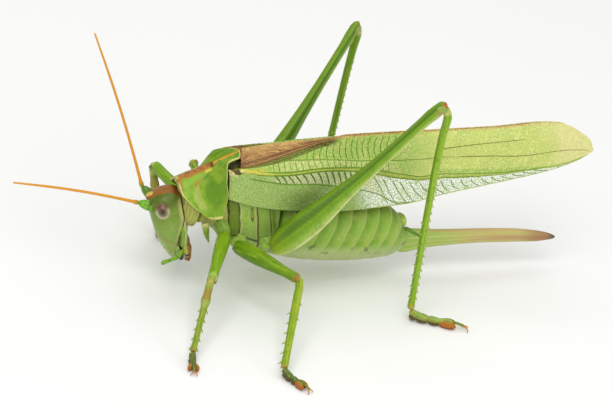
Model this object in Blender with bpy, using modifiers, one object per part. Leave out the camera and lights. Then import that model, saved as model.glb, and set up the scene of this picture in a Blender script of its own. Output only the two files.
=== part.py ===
"""Great green bush-cricket, a female: a still, life-size model that stands on its six feet.

Sizes and places are worked out in millimetres and turned into metres at the end. X runs to the
tail, the animal's left side is -Y, and the floor is Z = 0. The origin is the middle of the
animal's outline on the floor.
"""

import math

import bmesh
import bpy
from mathutils import Matrix, Vector

MM = 0.001
ACROSS = Vector((0, 1, 0))
UP = Vector((0, 0, 1))
# Middle of the outline on the floor, seen from above, in the frame that the sizes are given in.
ORIGIN = Vector((16.23, -4.14, 0.0))
# Room that two touching pieces keep between them.
GAP = 0.3
# Thinnest membrane, as thick as a solid wing can be.
MEMBRANE = 0.5

# Head: its own frame stands on a point between the eyes. It is turned to the right and nods.
HEAD_PLACE = Vector((-1.77, 0.90, 12.10))
HEAD_YAW = math.radians(25)
HEAD_NOD = math.radians(20)
# Height in the head frame, then front, rear and half width of the capsule there.
HEAD_LEVELS = (
    (1.50, -0.10, -1.10, 0.60),
    (1.38, 0.70, -1.95, 1.35),
    (1.00, 1.60, -2.35, 1.85),
    (0.30, 1.92, -2.58, 2.25),
    (-0.50, 1.96, -2.62, 2.42),
    (-1.40, 1.90, -2.62, 2.48),
    (-2.30, 1.84, -2.52, 2.46),
    (-3.20, 1.76, -2.15, 2.38),
    (-4.00, 1.66, -1.72, 2.20),
    (-4.60, 1.60, -1.20, 1.95),
    (-5.10, 1.56, -0.30, 1.62),
    (-5.50, 1.48, 0.15, 1.40),
)
EYE_PLACE = (2.05, -0.04, -0.45)
EYE_RADII = (0.82, 0.92, 1.08)
SCAPE_SIDE = 1.1
LEFT_SCAPE_END = (2.60, 0.80)
RIGHT_SCAPE_END = (2.39, 1.67)
LEFT_FEELER_TIP = Vector((-27.13, -9.0, 21.10))
RIGHT_FEELER_TIP = Vector((-15.36, 1.0, 35.71))
FEELER_RADIUS = 0.26
# How far each feeler bows out of a straight line at its middle.
LEFT_FEELER_BOW = Vector((0.0, 0.0, 0.30))
RIGHT_FEELER_BOW = Vector((0.30, 0.0, 0.0))

# Pronotum: its front and rear edges from the middle of the back down to the corner of the lobe.
PRONOTUM_FRONT = (
    (0.0, (-1.00, 0.00, 15.85)),
    (0.2, (-0.95, -1.15, 15.20)),
    (0.4, (-0.75, -2.05, 14.50)),
    (0.6, (-0.20, -2.72, 13.95)),
    (0.8, (1.20, -3.20, 12.80)),
    (1.0, (3.00, -3.35, 11.60)),
)
PRONOTUM_REAR = (
    (0.0, (7.15, 0.00, 19.40)),
    (0.2, (6.60, -1.40, 18.95)),
    (0.4, (4.95, -2.65, 18.25)),
    (0.6, (4.55, -3.35, 17.00)),
    (0.8, (5.05, -3.50, 14.60)),
    (1.0, (4.80, -3.40, 11.50)),
)
PRONOTUM_WALL = 0.6
PRONOTUM_SWELL = 0.18
# Solidify's offset that grows the wall inwards from that sheet.
PRONOTUM_INWARDS = -1

# Body sections along X: top, bottom and half width.
NECK_LEVELS = (
    (-1.60, 13.80, 10.30, 1.60),
    (-0.80, 14.20, 9.65, 2.00),
    (0.40, 14.60, 9.15, 2.20),
    (1.30, 14.90, 9.00, 2.25),
    (2.20, 15.20, 8.90, 2.30),
)
THORAX_LEVELS = (
    (2.50, 15.20, 8.90, 2.30),
    (4.00, 16.00, 8.50, 2.50),
    (5.40, 16.80, 7.90, 2.70),
    (6.60, 17.50, 7.10, 3.10),
    (8.50, 17.90, 6.40, 3.35),
    (11.00, 17.00, 5.50, 3.40),
    (13.30, 14.40, 4.60, 3.35),
)
ABDOMEN_LEVELS = (
    (13.60, 14.20, 4.50, 3.35),
    (16.00, 12.60, 3.98, 3.70),
    (18.50, 12.00, 3.52, 3.85),
    (21.50, 11.90, 3.20, 3.95),
    (25.00, 11.80, 3.00, 3.95),
    (28.00, 11.50, 3.05, 3.75),
    (30.00, 10.80, 3.10, 3.40),
    (31.50, 10.00, 3.20, 2.95),
    (32.80, 9.20, 3.50, 2.45),
    (33.80, 8.30, 4.10, 1.95),
    (34.60, 7.40, 4.80, 1.30),
)
SEGMENT_COUNT = 9
SEGMENTS_START = 14.4
SEGMENTS_END = 33.4
SEGMENT_STEP = 0.14

OVIPOSITOR_LEVELS = (
    (33.20, 6.60, 3.60, 0.80),
    (34.50, 6.70, 3.15, 0.80),
    (38.00, 6.50, 3.60, 0.66),
    (44.50, 6.35, 3.82, 0.62),
    (51.00, 6.00, 3.78, 0.56),
    (55.00, 5.45, 3.82, 0.44),
    (57.00, 5.00, 3.95, 0.34),
    (58.30, 4.50, 4.15, 0.18),
)
CERCUS_ROOT = Vector((33.00, -1.80, 7.95))
CERCUS_TIP = Vector((35.65, -2.75, 6.70))

# Left forewing, seen as four lines from root to tip, each a list of X, Y and Z places.
COSTAL_EDGE = (
    (0.00, (6.00, -3.95, 14.30)),
    (0.06, (8.60, -4.05, 13.50)),
    (0.18, (15.10, -3.90, 12.50)),
    (0.32, (22.40, -3.80, 12.20)),
    (0.47, (31.20, -2.90, 12.35)),
    (0.60, (37.70, -2.20, 13.25)),
    (0.72, (44.10, -1.80, 14.15)),
    (0.86, (52.60, -1.50, 15.60)),
    (0.95, (57.00, -1.45, 16.95)),
    (1.00, (59.30, -1.35, 18.15)),
)
RADIAL_VEIN = (
    (0.00, (6.20, -3.40, 17.95)),
    (0.14, (12.80, -3.60, 18.00)),
    (0.24, (18.40, -3.60, 18.30)),
    (0.36, (24.30, -3.40, 18.00)),
    (0.47, (30.30, -2.70, 16.80)),
    (0.62, (38.20, -2.15, 15.20)),
    (0.76, (45.80, -1.80, 15.45)),
    (0.88, (52.60, -1.50, 16.60)),
    (1.00, (59.50, -1.35, 18.35)),
)
SHOULDER_FOLD = (
    (0.00, (6.30, -2.70, 18.42)),
    (0.14, (12.80, -2.60, 18.90)),
    (0.22, (16.80, -2.30, 19.42)),
    (0.29, (20.60, -1.95, 19.86)),
    (0.38, (25.00, -1.55, 20.15)),
    (0.56, (35.30, -1.35, 20.20)),
    (0.72, (44.30, -1.25, 20.00)),
    (0.88, (53.30, -1.20, 19.80)),
    (1.00, (59.60, -1.30, 18.55)),
)
INNER_EDGE = (
    (0.00, (7.60, 0.50, 19.45)),
    (0.11, (12.20, 0.35, 20.10)),
    (0.20, (16.80, -0.12, 20.72)),
    (0.32, (22.40, -0.42, 21.33)),
    (0.56, (35.30, -0.42, 21.72)),
    (0.72, (44.30, -0.42, 21.98)),
    (0.85, (51.20, -0.42, 22.45)),
    (0.90, (54.00, -0.50, 22.30)),
    (0.95, (57.80, -0.80, 20.70)),
    (0.98, (59.10, -1.00, 19.70)),
    (1.00, (59.50, -1.20, 18.75)),
)
# The right forewing's flat field lies under the left one as far as this stretch.
FOLD_ENDS = (16.8, 22.0)
FOLD_DROP = MEMBRANE + 2 * GAP
# Past that stretch its upper edge still stands this much lower than the left one's.
EDGE_DROP = 0.35
# Rows of the forewing's membrane between those four lines: where each line lies, every row of the
# sheet, and how far each main vein stands out of it.
LINE_ROWS = (0.0, 0.42, 0.74, 1.0)
WING_ROWS = (0.0, 0.14, 0.31, 0.33, 0.35, 0.40, 0.42, 0.44, 0.56, 0.58, 0.60, 0.72, 0.74, 0.76, 0.88, 1.0)
VEIN_HEIGHTS = {0.33: 0.16, 0.42: 0.24, 0.58: 0.18, 0.74: 0.18}
WING_STATIONS = 22
# Over 1, this draws the stations closer together at the wing's tip.
TIP_CROWDING = 1.35

# Hind wings: distance from the middle, then X and Z places of the lower and the upper edge.
HINDWING_SIDE = 0.42
HINDWING_LOWER = (
    (9.4, 17.4), (13.0, 15.4), (22.0, 14.4), (32.0, 14.4), (44.0, 15.8), (52.0, 17.0), (56.6, 18.3)
)
HINDWING_UPPER = (
    (9.4, 17.9), (13.0, 18.2), (22.0, 19.6), (32.0, 20.4), (44.0, 20.6), (52.0, 20.6), (56.6, 18.9)
)

# Legs: femur root, knee, head of the tibia, ankle and claw tip of each.
LEG_PLACES = {
    "hind_left": (
        (11.60, -5.30, 8.74),
        (29.62, -8.40, 29.50),
        (30.75, -8.90, 28.75),
        (30.30, -11.75, 1.60),
        (37.10, -15.15, 0),
    ),
    "hind_right": (
        (12.35, 5.30, 8.10),
        (27.70, 13.17, 30.05),
        (28.50, 13.45, 29.30),
        (28.85, 14.95, 1.60),
        (36.10, 14.60, 0),
    ),
    "mid_left": (
        (7.60, -3.25, 7.45),
        (11.80, -13.28, 8.12),
        (11.92, -13.65, 7.50),
        (6.95, -22.68, 1.25),
        (8.80, -26.70, 0),
    ),
    "mid_right": (
        (8.00, 3.25, 7.20),
        (8.27, 13.49, 10.11),
        (8.55, 13.75, 9.60),
        (16.73, 15.50, 1.25),
        (19.90, 18.30, 0),
    ),
    "front_left": (
        (6.00, -2.80, 8.60),
        (1.36, -10.30, 7.10),
        (0.98, -10.65, 6.60),
        (-3.35, -17.72, 1.25),
        (-4.45, -21.10, 0),
    ),
    "front_right": (
        (5.14, 2.75, 8.90),
        (1.30, 10.80, 11.50),
        (1.30, 10.95, 10.95),
        (4.23, 11.28, 1.25),
        (6.00, 14.40, 0),
    ),
}
# Half thickness along each femur: share of its length, across the leg, and up and down.
FEMUR_SHAPES = {
    "hind": (
        (0.00, 0.60, 0.80),
        (0.05, 0.95, 1.45),
        (0.12, 1.18, 1.86),
        (0.20, 1.20, 1.96),
        (0.30, 1.08, 1.70),
        (0.42, 0.90, 1.28),
        (0.55, 0.74, 0.96),
        (0.72, 0.62, 0.82),
        (0.88, 0.60, 0.76),
        (0.96, 0.72, 0.96),
        (1.01, 0.62, 0.80),
        (1.03, 0.30, 0.42),
    ),
    "mid": (
        (0.00, 0.66, 0.80),
        (0.10, 0.82, 1.04),
        (0.30, 0.84, 1.10),
        (0.60, 0.68, 0.86),
        (0.85, 0.56, 0.68),
        (0.95, 0.60, 0.76),
        (1.00, 0.40, 0.52),
    ),
    "front": (
        (0.00, 0.78, 0.90),
        (0.12, 0.95, 1.12),
        (0.40, 0.88, 1.06),
        (0.80, 0.66, 0.84),
        (0.95, 0.70, 0.90),
        (1.02, 0.50, 0.62),
    ),
}
# How far the left jumping leg's femur hangs below the straight line from its root to the knee, along its
# length, and the share of that on the right.
FEMUR_SAG = (
    (0.00, 0.95), (0.05, 1.25), (0.16, 1.50), (0.28, 1.55), (0.42, 1.30),
    (0.55, 1.10), (0.72, 0.70), (0.88, 0.22), (1.00, 0.0),
)
RIGHT_SAG = 0.2
# Radius along each tibia, from its head to the ankle.
TIBIA_SHAPES = {
    "hind": (
        (0.00, 0.46), (0.02, 0.64), (0.08, 0.60), (0.25, 0.52),
        (0.50, 0.48), (0.92, 0.44), (0.98, 0.56), (1.00, 0.44),
    ),
    "mid": (
        (0.00, 0.44), (0.06, 0.54), (0.50, 0.47), (0.92, 0.44),
        (1.00, 0.36),
    ),
    "front": (
        (0.00, 0.42), (0.06, 0.52), (0.14, 0.56), (0.22, 0.66),
        (0.31, 0.54), (0.45, 0.46), (0.92, 0.45), (1.00, 0.38),
    ),
}
# How far each tibia bows towards the inside of the knee's bend.
TIBIA_BOWS = {"hind": 0.42, "mid": 0.0, "front": 0.0}
# Rows of spines on each tibia: the shares of its length where a row starts and ends, how many spines,
# their length, and how far each row is turned outwards from the inside of the knee's bend.
SPINE_ROWS = {
    "hind": ((0.16, 0.93, 11, 0.60, (150, -150)), (0.55, 0.93, 4, 0.50, (30,))),
    "mid": ((0.34, 0.93, 6, 0.80, (35, -35)), (0.22, 0.40, 2, 0.55, (180,))),
    "front": ((0.38, 0.93, 6, 0.75, (62, -62)),),
}
SPINE_RADIUS = 0.17
SPINE_LEAN = math.radians(38)
# How far out of the shin's middle a spine starts, as a share of the shin's radius.
SPINE_DEPTH = 0.6
# Root and tip of each coxa on the animal's left, and its radius.
COXA_ENDS = {
    "hind": ((10.9, 3.0, 9.6), (11.5, 4.4, 8.0), 1.45),
    "mid": ((8.7, 1.5, 9.2), (8.2, 2.5, 6.5), 1.15),
    "front": ((4.1, 1.6, 11.2), (4.95, 2.5, 7.9), 1.12),
}
# Foot, as shares of its length from the ankle to the claw tips: the line of its joints with their
# height and radius, then each pad's place, half length, half width, half height and side.
FOOT_LINE = (
    (0.10, 0.90, 0.38),
    (0.24, 0.82, 0.34),
    (0.42, 0.72, 0.28),
    (0.62, 0.92, 0.28),
    (0.80, 1.00, 0.25),
    (0.94, 0.72, 0.20),
)
FOOT_PADS = (
    (0.07, 0.07, 0.30, 0.40, 0.0),
    (0.22, 0.13, 0.46, 0.68, 0.0),
    (0.45, 0.12, 0.44, 0.62, 0.0),
    (0.62, 0.12, 0.42, 0.50, 0.0),
    (0.76, 0.13, 0.38, 0.46, 0.42),
    (0.76, 0.13, 0.38, 0.46, -0.42),
)
# Share of the triangles kept where a foot's pieces are fused.
FOOT_KEPT = 0.55
# Thickness of each pair's feet beside the front ones.
FOOT_SIZES = {"hind": 1.22, "mid": 1.04, "front": 1.0}
# How deep a pad reaches under the floor before it is cut flat there.
PAD_SINK = 0.08
# Each claw's line: share of the foot's length, side, height and radius.
CLAW_LINE = ((0.88, 0.08, 0.80, 0.15), (0.98, 0.30, 0.60, 0.12), (1.02, 0.40, 0.07, 0.05))

LEG_COLOUR = (0.20, 0.42, 0.02)
BODY_COLOUR = (0.22, 0.42, 0.06)
WING_COLOUR = (0.30, 0.50, 0.08)
EYE_COLOUR = (0.45, 0.32, 0.25)
FEELER_COLOUR = (0.75, 0.28, 0.03)


def along(keys, place):
    """The value at a place of a smooth curve through (place, value) keys; it doesn't overshoot them."""
    if place <= keys[0][0]:
        return keys[0][1]
    if place >= keys[-1][0]:
        return keys[-1][1]
    first = max(i for i in range(len(keys) - 1) if keys[i][0] <= place)
    rises = [(b[1] - a[1]) / (b[0] - a[0]) for a, b in zip(keys, keys[1:])]

    def slope(i):
        if i == 0 or i == len(keys) - 1:
            return rises[min(i, len(rises) - 1)]
        before, after = rises[i - 1], rises[i]
        return 0.0 if before * after <= 0 else 2 * before * after / (before + after)

    (start, low), (end, high) = keys[first], keys[first + 1]
    width = end - start
    t = (place - start) / width
    return (
        low * (2 * t**3 - 3 * t**2 + 1)
        + high * (3 * t**2 - 2 * t**3)
        + width * slope(first) * (t**3 - 2 * t**2 + t)
        + width * slope(first + 1) * (t**3 - t**2)
    )


def point_along(keys, place):
    """The point at a place of a smooth line through (place, (x, y, z)) keys."""
    return Vector([along([(key[0], key[1][axis]) for key in keys], place) for axis in range(3)])


def level_at(levels, place):
    """A row of sizes at a place between rows whose first number is their place."""
    return [along([(row[0], row[i]) for row in levels], place) for i in range(1, len(levels[0]))]


def oval(centre, side, up, half_side, half_up, count, power=2.0):
    """A ring of points; a power over 2 makes the oval squarer."""
    ring = []
    for i in range(count):
        angle = 2 * math.pi * (i + 0.5) / count
        x = math.copysign(abs(math.cos(angle)) ** (2 / power), math.cos(angle))
        y = math.copysign(abs(math.sin(angle)) ** (2 / power), math.sin(angle))
        ring.append(centre + side * (half_side * x) + up * (half_up * y))
    return ring


def object_from(bm, name):
    """An object that holds the mesh, in the parts' collection, its faces turned outwards."""
    bmesh.ops.recalc_face_normals(bm, faces=bm.faces)
    mesh = bpy.data.meshes.new(name)
    bm.to_mesh(mesh)
    bm.free()
    obj = bpy.data.objects.new(name, mesh)
    PARTS.objects.link(obj)
    return obj


def sheet(name, stations, rows, place, thickness, offset):
    """A closed wall of even thickness on a sheet whose points are place(station, row)."""
    bm = bmesh.new()
    bmesh.ops.create_grid(bm, x_segments=len(stations) - 1, y_segments=len(rows) - 1, size=0.5)
    for vert in bm.verts:
        station = stations[round((vert.co.x + 0.5) * (len(stations) - 1))]
        row = rows[round((vert.co.y + 0.5) * (len(rows) - 1))]
        vert.co = place(station, row)
    bmesh.ops.triangulate(bm, faces=bm.faces)
    obj = object_from(bm, name)
    modifier = obj.modifiers.new("wall", "SOLIDIFY")
    modifier.thickness = thickness
    modifier.offset = offset
    modifier.use_even_offset = False
    apply_modifiers(obj)
    bm = bmesh.new()
    bm.from_mesh(obj.data)
    bmesh.ops.triangulate(bm, faces=bm.faces)
    bmesh.ops.recalc_face_normals(bm, faces=bm.faces)
    bm.to_mesh(obj.data)
    bm.free()
    return obj


def loft(name, rings):
    """One closed surface through rings of equally many points, with a flat cap on each end."""
    bm = bmesh.new()
    loops = [[bm.verts.new(point) for point in ring] for ring in rings]
    for first, second in zip(loops, loops[1:]):
        for i in range(len(first)):
            j = (i + 1) % len(first)
            bm.faces.new((first[i], first[j], second[j], second[i]))
    bm.faces.new(loops[0])
    bm.faces.new(loops[-1])
    bmesh.ops.triangulate(bm, faces=bm.faces)
    return object_from(bm, name)


def limb(name, places, sizes, side, count, power=2.0):
    """A loft along a line of places; side points across it, and each size is half across and half up."""
    rings = []
    for i, place in enumerate(places):
        ahead = (places[min(i + 1, len(places) - 1)] - places[max(i - 1, 0)]).normalized()
        across = (side - ahead * side.dot(ahead)).normalized()
        up = ahead.cross(across)
        rings.append(oval(place, across, up, sizes[i][0], sizes[i][1], count, power))
    return loft(name, rings)


def body_loft(name, levels, places, count, power=2.2):
    """A loft along X from rows of top, bottom and half width."""
    rings = []
    for place in places:
        top, bottom, half = level_at(levels, place)[:3]
        centre = Vector((place, 0, (top + bottom) / 2))
        rings.append(oval(centre, ACROSS, UP, half, (top - bottom) / 2, count, power))
    return loft(name, rings)


def ellipsoid(name, centre, axes, radii, rings=8, sides=12):
    """A ball stretched along three axes."""
    bm = bmesh.new()
    bmesh.ops.create_uvsphere(bm, u_segments=sides, v_segments=rings, radius=1.0)
    for vert in bm.verts:
        parts = (axis * radius * part for axis, radius, part in zip(axes, radii, vert.co))
        vert.co = centre + sum(parts, Vector())
    bmesh.ops.triangulate(bm, faces=bm.faces)
    return object_from(bm, name)


def evaluated_mesh(obj):
    """The object's mesh with its modifiers applied."""
    graph = bpy.context.evaluated_depsgraph_get()
    return bpy.data.meshes.new_from_object(obj.evaluated_get(graph))


def apply_modifiers(obj):
    """Gives the object its evaluated mesh and takes its modifiers away."""
    mesh = evaluated_mesh(obj)
    obj.modifiers.clear()
    obj.data = mesh


def keep_largest(obj):
    """Leaves only the object's largest closed surface."""
    bm = bmesh.new()
    bm.from_mesh(obj.data)
    left = set(bm.verts)
    islands = []
    while left:
        seed = left.pop()
        island, queue = {seed}, [seed]
        while queue:
            for edge in queue.pop().link_edges:
                for vert in edge.verts:
                    if vert in left:
                        left.discard(vert)
                        island.add(vert)
                        queue.append(vert)
        islands.append(island)

    def spread(island):
        sides = [max(v.co[i] for v in island) - min(v.co[i] for v in island) for i in range(3)]
        return math.prod(sides)

    keep = max(islands, key=spread)
    bmesh.ops.delete(bm, geom=[vert for vert in bm.verts if vert not in keep], context="VERTS")
    bm.to_mesh(obj.data)
    bm.free()


def boolean(obj, operation, solver="EXACT", other=None, group=None):
    """Applies one Boolean with an object or with a collection of them."""
    modifier = obj.modifiers.new(operation, "BOOLEAN")
    modifier.operation = operation
    modifier.solver = solver
    if group:
        modifier.operand_type = "COLLECTION"
        modifier.collection = group
    else:
        modifier.object = other
    apply_modifiers(obj)


def remove(obj):
    """Deletes an object and its mesh."""
    mesh = obj.data
    bpy.data.objects.remove(obj)
    bpy.data.meshes.remove(mesh)


def clear_of(piece, *carriers):
    """Cuts the piece back so that it keeps the gap to each carrier."""
    for carrier in carriers:
        bm = bmesh.new()
        bm.from_mesh(carrier.data)
        bm.normal_update()
        moves = [vert.normal * GAP * 1.12 for vert in bm.verts]
        for vert, move in zip(bm.verts, moves):
            vert.co += move
        cutter = object_from(bm, "cutter")
        boolean(piece, "DIFFERENCE", "MANIFOLD", other=cutter)
        remove(cutter)
    keep_largest(piece)


def join(base, pieces):
    """Fuses closed pieces into the base and keeps one body."""
    group = bpy.data.collections.new("joined")
    bpy.context.scene.collection.children.link(group)
    for piece in pieces:
        PARTS.objects.unlink(piece)
        group.objects.link(piece)
    boolean(base, "UNION", "MANIFOLD", group=group)
    for piece in pieces:
        remove(piece)
    bpy.data.collections.remove(group)
    keep_largest(base)


def head_axes():
    """The head's left, face and crown directions."""
    forward = Vector((-math.cos(HEAD_YAW), math.sin(HEAD_YAW), 0))
    left = Vector((-math.sin(HEAD_YAW), -math.cos(HEAD_YAW), 0))
    face = forward * math.cos(HEAD_NOD) - UP * math.sin(HEAD_NOD)
    crown = forward * math.sin(HEAD_NOD) + UP * math.cos(HEAD_NOD)
    return left, face, crown


def on_head(left, face, crown):
    """A place given to the animal's left, towards its face and towards its crown."""
    axes = head_axes()
    return HEAD_PLACE + axes[0] * left + axes[1] * face + axes[2] * crown


def build_head():
    """Capsule with the clypeus, as one lofted shell of ovals from the crown down."""
    left, face, _ = head_axes()
    rings = []
    for crown, front, rear, half in HEAD_LEVELS:
        centre = on_head(0, (front + rear) / 2, crown)
        rings.append(oval(centre, left, face, half, (front - rear) / 2, 18, 2.3))
    return loft("head", rings)


def build_eye(side):
    """An oval eye that stands out of the side of the head."""
    across, face, crown = EYE_PLACE
    place = on_head(across * side, face, crown)
    return ellipsoid(side_name("eye", side), place, head_axes(), EYE_RADII)


def side_name(name, side):
    """The node's name on the left (1) or the right (-1)."""
    return f"{name}_{'left' if side > 0 else 'right'}"


def head_limb(name, places, sizes, side, count=8, power=2.0):
    """A limb whose places are given in the head's frame, on the left or mirrored to the right."""
    points = [on_head(across * side, face, crown) for across, face, crown in places]
    return limb(name, points, sizes, head_axes()[0], count, power)


def build_labrum():
    """The upper lip, a plate that hangs from the clypeus and curves back over the jaws."""
    places = ((0, 0.95, -5.85), (0, 0.78, -6.5), (0, 0.45, -7.3), (0, 0.05, -8.0), (0, -0.10, -8.4))
    sizes = ((1.15, 0.34), (1.30, 0.42), (1.25, 0.42), (0.95, 0.34), (0.55, 0.22))
    return head_limb("labrum", places, sizes, 1, 14, 2.6)


def build_mandible(side):
    """A jaw, broad under the cheek and narrow at its dark tip."""
    places = (
        (1.25, -0.45, -5.1),
        (1.20, -0.35, -5.9),
        (1.00, -0.35, -6.8),
        (0.72, -0.50, -7.7),
        (0.42, -0.75, -8.35),
    )
    sizes = ((0.55, 0.50), (0.62, 0.62), (0.55, 0.55), (0.36, 0.40), (0.16, 0.20))
    return head_limb(side_name("mandible", side), places, sizes, side)


def build_maxilla(side):
    """A second jaw behind the first."""
    places = (
        (1.15, -1.60, -4.9),
        (1.10, -1.75, -5.8),
        (0.90, -1.75, -6.9),
        (0.65, -1.75, -7.9),
        (0.42, -1.50, -8.7),
    )
    sizes = ((0.45, 0.42), (0.52, 0.50), (0.46, 0.48), (0.34, 0.36), (0.18, 0.20))
    return head_limb(side_name("maxilla", side), places, sizes, side)


def build_maxillary_palp(side):
    """A long jointed palp that reaches forward past the lip."""
    places = (
        (1.60, -1.55, -6.6),
        (2.05, -0.90, -7.2),
        (2.00, 0.10, -7.6),
        (1.90, 0.95, -7.85),
        (1.85, 1.50, -8.05),
    )
    sizes = ((0.27, 0.27), (0.27, 0.27), (0.25, 0.25), (0.27, 0.27), (0.24, 0.24))
    return head_limb(side_name("maxillary_palp", side), places, sizes, side)


def build_labial_palp(side):
    """A short palp under the second jaw."""
    places = ((0.60, -2.35, -6.5), (0.72, -2.15, -7.3), (0.68, -1.75, -8.2), (0.62, -1.30, -8.9))
    sizes = ((0.26, 0.26), (0.26, 0.26), (0.25, 0.25), (0.20, 0.20))
    return head_limb(side_name("labial_palp", side), places, sizes, side)


def build_antenna(side):
    """A thick first joint on the brow, then a long thin feeler, nearly straight."""
    face, crown = LEFT_SCAPE_END if side > 0 else RIGHT_SCAPE_END
    tip = LEFT_FEELER_TIP if side > 0 else RIGHT_FEELER_TIP
    bow = LEFT_FEELER_BOW if side > 0 else RIGHT_FEELER_BOW
    root = on_head(SCAPE_SIDE * side, 1.2, 0.0)
    knuckle = on_head(SCAPE_SIDE * side, face, crown)
    points = [root, root.lerp(knuckle, 0.45), root.lerp(knuckle, 0.85), knuckle]
    radii = [0.60, 0.64, 0.55, 0.38]
    for share in (0.03, 0.06, 0.25, 0.5, 0.75, 0.93, 1.0):
        points.append(knuckle.lerp(tip, share) + bow * math.sin(math.pi * share))
        radii.append(along(((0.0, 0.38), (0.08, FEELER_RADIUS), (0.9, 0.25), (1.0, 0.12)), share))
    return limb(side_name("antenna", side), points, [(r, r) for r in radii], UP, 7)


def even_steps(count):
    """Shares from 0 to 1, count of them, evenly spaced."""
    return [i / (count - 1) for i in range(count)]


def build_pronotum():
    """The saddle over the neck: a ruled sheet from its front to its rear edge, bent over the back."""

    def place(share, turn):
        """A point at a share of the length and a turn from the left lobe (-1) to the right one (1)."""
        point = point_along(PRONOTUM_FRONT, abs(turn)).lerp(point_along(PRONOTUM_REAR, abs(turn)), share)
        point.y -= PRONOTUM_SWELL * math.sin(math.pi * share) * min(1, 2 * abs(turn))
        point.y *= 1 if turn < 0 else -1
        return point

    turns = [2 * share - 1 for share in even_steps(15)]
    return sheet("pronotum", even_steps(8), turns, place, PRONOTUM_WALL, PRONOTUM_INWARDS)


def build_abdomen():
    """A soft body of segments, each a little wider at its rear edge than the next one's front."""
    length = (SEGMENTS_END - SEGMENTS_START) / SEGMENT_COUNT
    rings = []
    for place, swell in abdomen_stations(length):
        top, bottom, half = level_at(ABDOMEN_LEVELS, place)
        centre = Vector((place, 0, (top + bottom) / 2))
        rings.append(oval(centre, ACROSS, UP, half + swell, (top - bottom) / 2 + swell, 16, 2.1))
    return loft("abdomen", rings)


def abdomen_stations(length):
    """Places along the abdomen, each with how far the plate there stands out."""
    yield ABDOMEN_LEVELS[0][0], 0.0
    for i in range(SEGMENT_COUNT):
        start = SEGMENTS_START + i * length
        yield start, -SEGMENT_STEP / 2
        yield start + 0.80 * length, SEGMENT_STEP / 2
    yield SEGMENTS_END, -SEGMENT_STEP / 2
    for row in ABDOMEN_LEVELS[-2:]:
        yield row[0], 0.0


def build_ovipositor():
    """The long flat blade that lays the eggs."""
    rings = []
    for x, top, bottom, half in OVIPOSITOR_LEVELS:
        centre = Vector((x, 0, (top + bottom) / 2))
        rings.append(oval(centre, ACROSS, UP, half, (top - bottom) / 2, 12, 2.2))
    return loft("ovipositor", rings)


def build_cercus(side):
    """A short cone on each side of the tail."""
    root, tip = CERCUS_ROOT.copy(), CERCUS_TIP.copy()
    if side < 0:
        root.y *= -1
        tip.y *= -1
    places = [root.lerp(tip, share) for share in (0.0, 0.3, 0.7, 0.95, 1.0)]
    sizes = [(r, r) for r in (0.42, 0.42, 0.34, 0.25, 0.12)]
    return limb(side_name("cercus", side), places, sizes, UP, 8)


def membrane_place(share, row, side):
    """Middle of the forewing's membrane: share from root to tip, row from the lower to the inner edge."""
    lines = [point_along(line, share) for line in (COSTAL_EDGE, RADIAL_VEIN, SHOULDER_FOLD, INNER_EDGE)]
    place = point_along(list(zip(LINE_ROWS, lines)), row)
    if side < 0:
        place.y *= -1
        start, end = FOLD_ENDS
        under = max(0.0, min(1.0, (end - place.x) / (end - start)))
        shoulder = LINE_ROWS[2]
        flat = max(0.0, min(1.0, 2.4 * (row - shoulder) / (1 - shoulder)))
        place.z -= flat * (FOLD_DROP * under + EDGE_DROP * (1 - under))
    return place


def wing_place(share, row, side):
    """The same place, moved outwards where a main vein stands out of the membrane."""
    place = membrane_place(share, row, side)
    height = VEIN_HEIGHTS.get(row, 0.0) * min(1, 4 * (1 - share))
    if not height:
        return place
    nudge = 0.01
    along_wing = membrane_place(min(1, share + nudge), row, side) - membrane_place(share - nudge, row, side)
    across_wing = membrane_place(share, row + nudge, side) - membrane_place(share, row - nudge, side)
    return place + along_wing.cross(across_wing).normalized() * (height * side)


def build_tegmen(side):
    """A forewing: one membrane from the lower edge up the side and over the back."""
    stations = [1 - (1 - share) ** TIP_CROWDING for share in even_steps(WING_STATIONS)]

    def place(share, row):
        """A point at a share of the length, on a row."""
        return wing_place(share, row, side)

    return sheet(side_name("tegmen", side), stations, WING_ROWS, place, MEMBRANE, 0)


def build_hindwing(side):
    """A hind wing, folded flat and upright between the forewings."""
    start, end = HINDWING_LOWER[0][0], HINDWING_LOWER[-1][0]

    def place(share, row):
        """A point at a share of the length and of the height."""
        x = start + (end - start) * share
        lower, upper = along(HINDWING_LOWER, x), along(HINDWING_UPPER, x)
        return Vector((x, -HINDWING_SIDE * side, lower + (upper - lower) * row))

    return sheet(side_name("hindwing", side), even_steps(10), even_steps(3), place, MEMBRANE, 0)


def build_coxa(leg, side):
    """The stout first joint of a leg, on the side of the body."""
    root, tip, radius = COXA_ENDS[leg]
    root, tip = (Vector((x, -y * side, z)) for x, y, z in (root, tip))
    places = [root.lerp(tip, share) for share in (0.0, 0.25, 0.6, 0.9, 1.0)]
    sizes = [(radius * part, radius * part) for part in (0.75, 1.0, 1.0, 0.8, 0.5)]
    return limb(f"{leg}_{side_name('coxa', side)}", places, sizes, Vector((1, 0, 0)), 10)


def leg_points(leg, side):
    """Root, knee, head of the tibia, ankle and claw tip of a leg."""
    return [Vector(place) for place in LEG_PLACES[side_name(leg, side)]]


def leg_side(leg, side):
    """The direction across a leg, out of the plane that its femur and tibia lie in, away from the body."""
    root, knee, head, ankle, _ = leg_points(leg, side)
    return (knee - root).cross(ankle - head).normalized() * -side


def build_femur(leg, side):
    """The thigh."""
    root, knee, head, ankle, _ = leg_points(leg, side)
    shape = FEMUR_SHAPES[leg]
    places = [root.lerp(knee, row[0]) for row in shape]
    if leg == "hind":
        down = (ankle - head).normalized() * (1.0 if side > 0 else RIGHT_SAG)
        places = [place + down * along(FEMUR_SAG, row[0]) for place, row in zip(places, shape)]
    sizes = [row[1:] for row in shape]
    count = 14 if leg == "hind" else 12
    return limb(f"{leg}_{side_name('femur', side)}", places, sizes, leg_side(leg, side), count)


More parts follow.
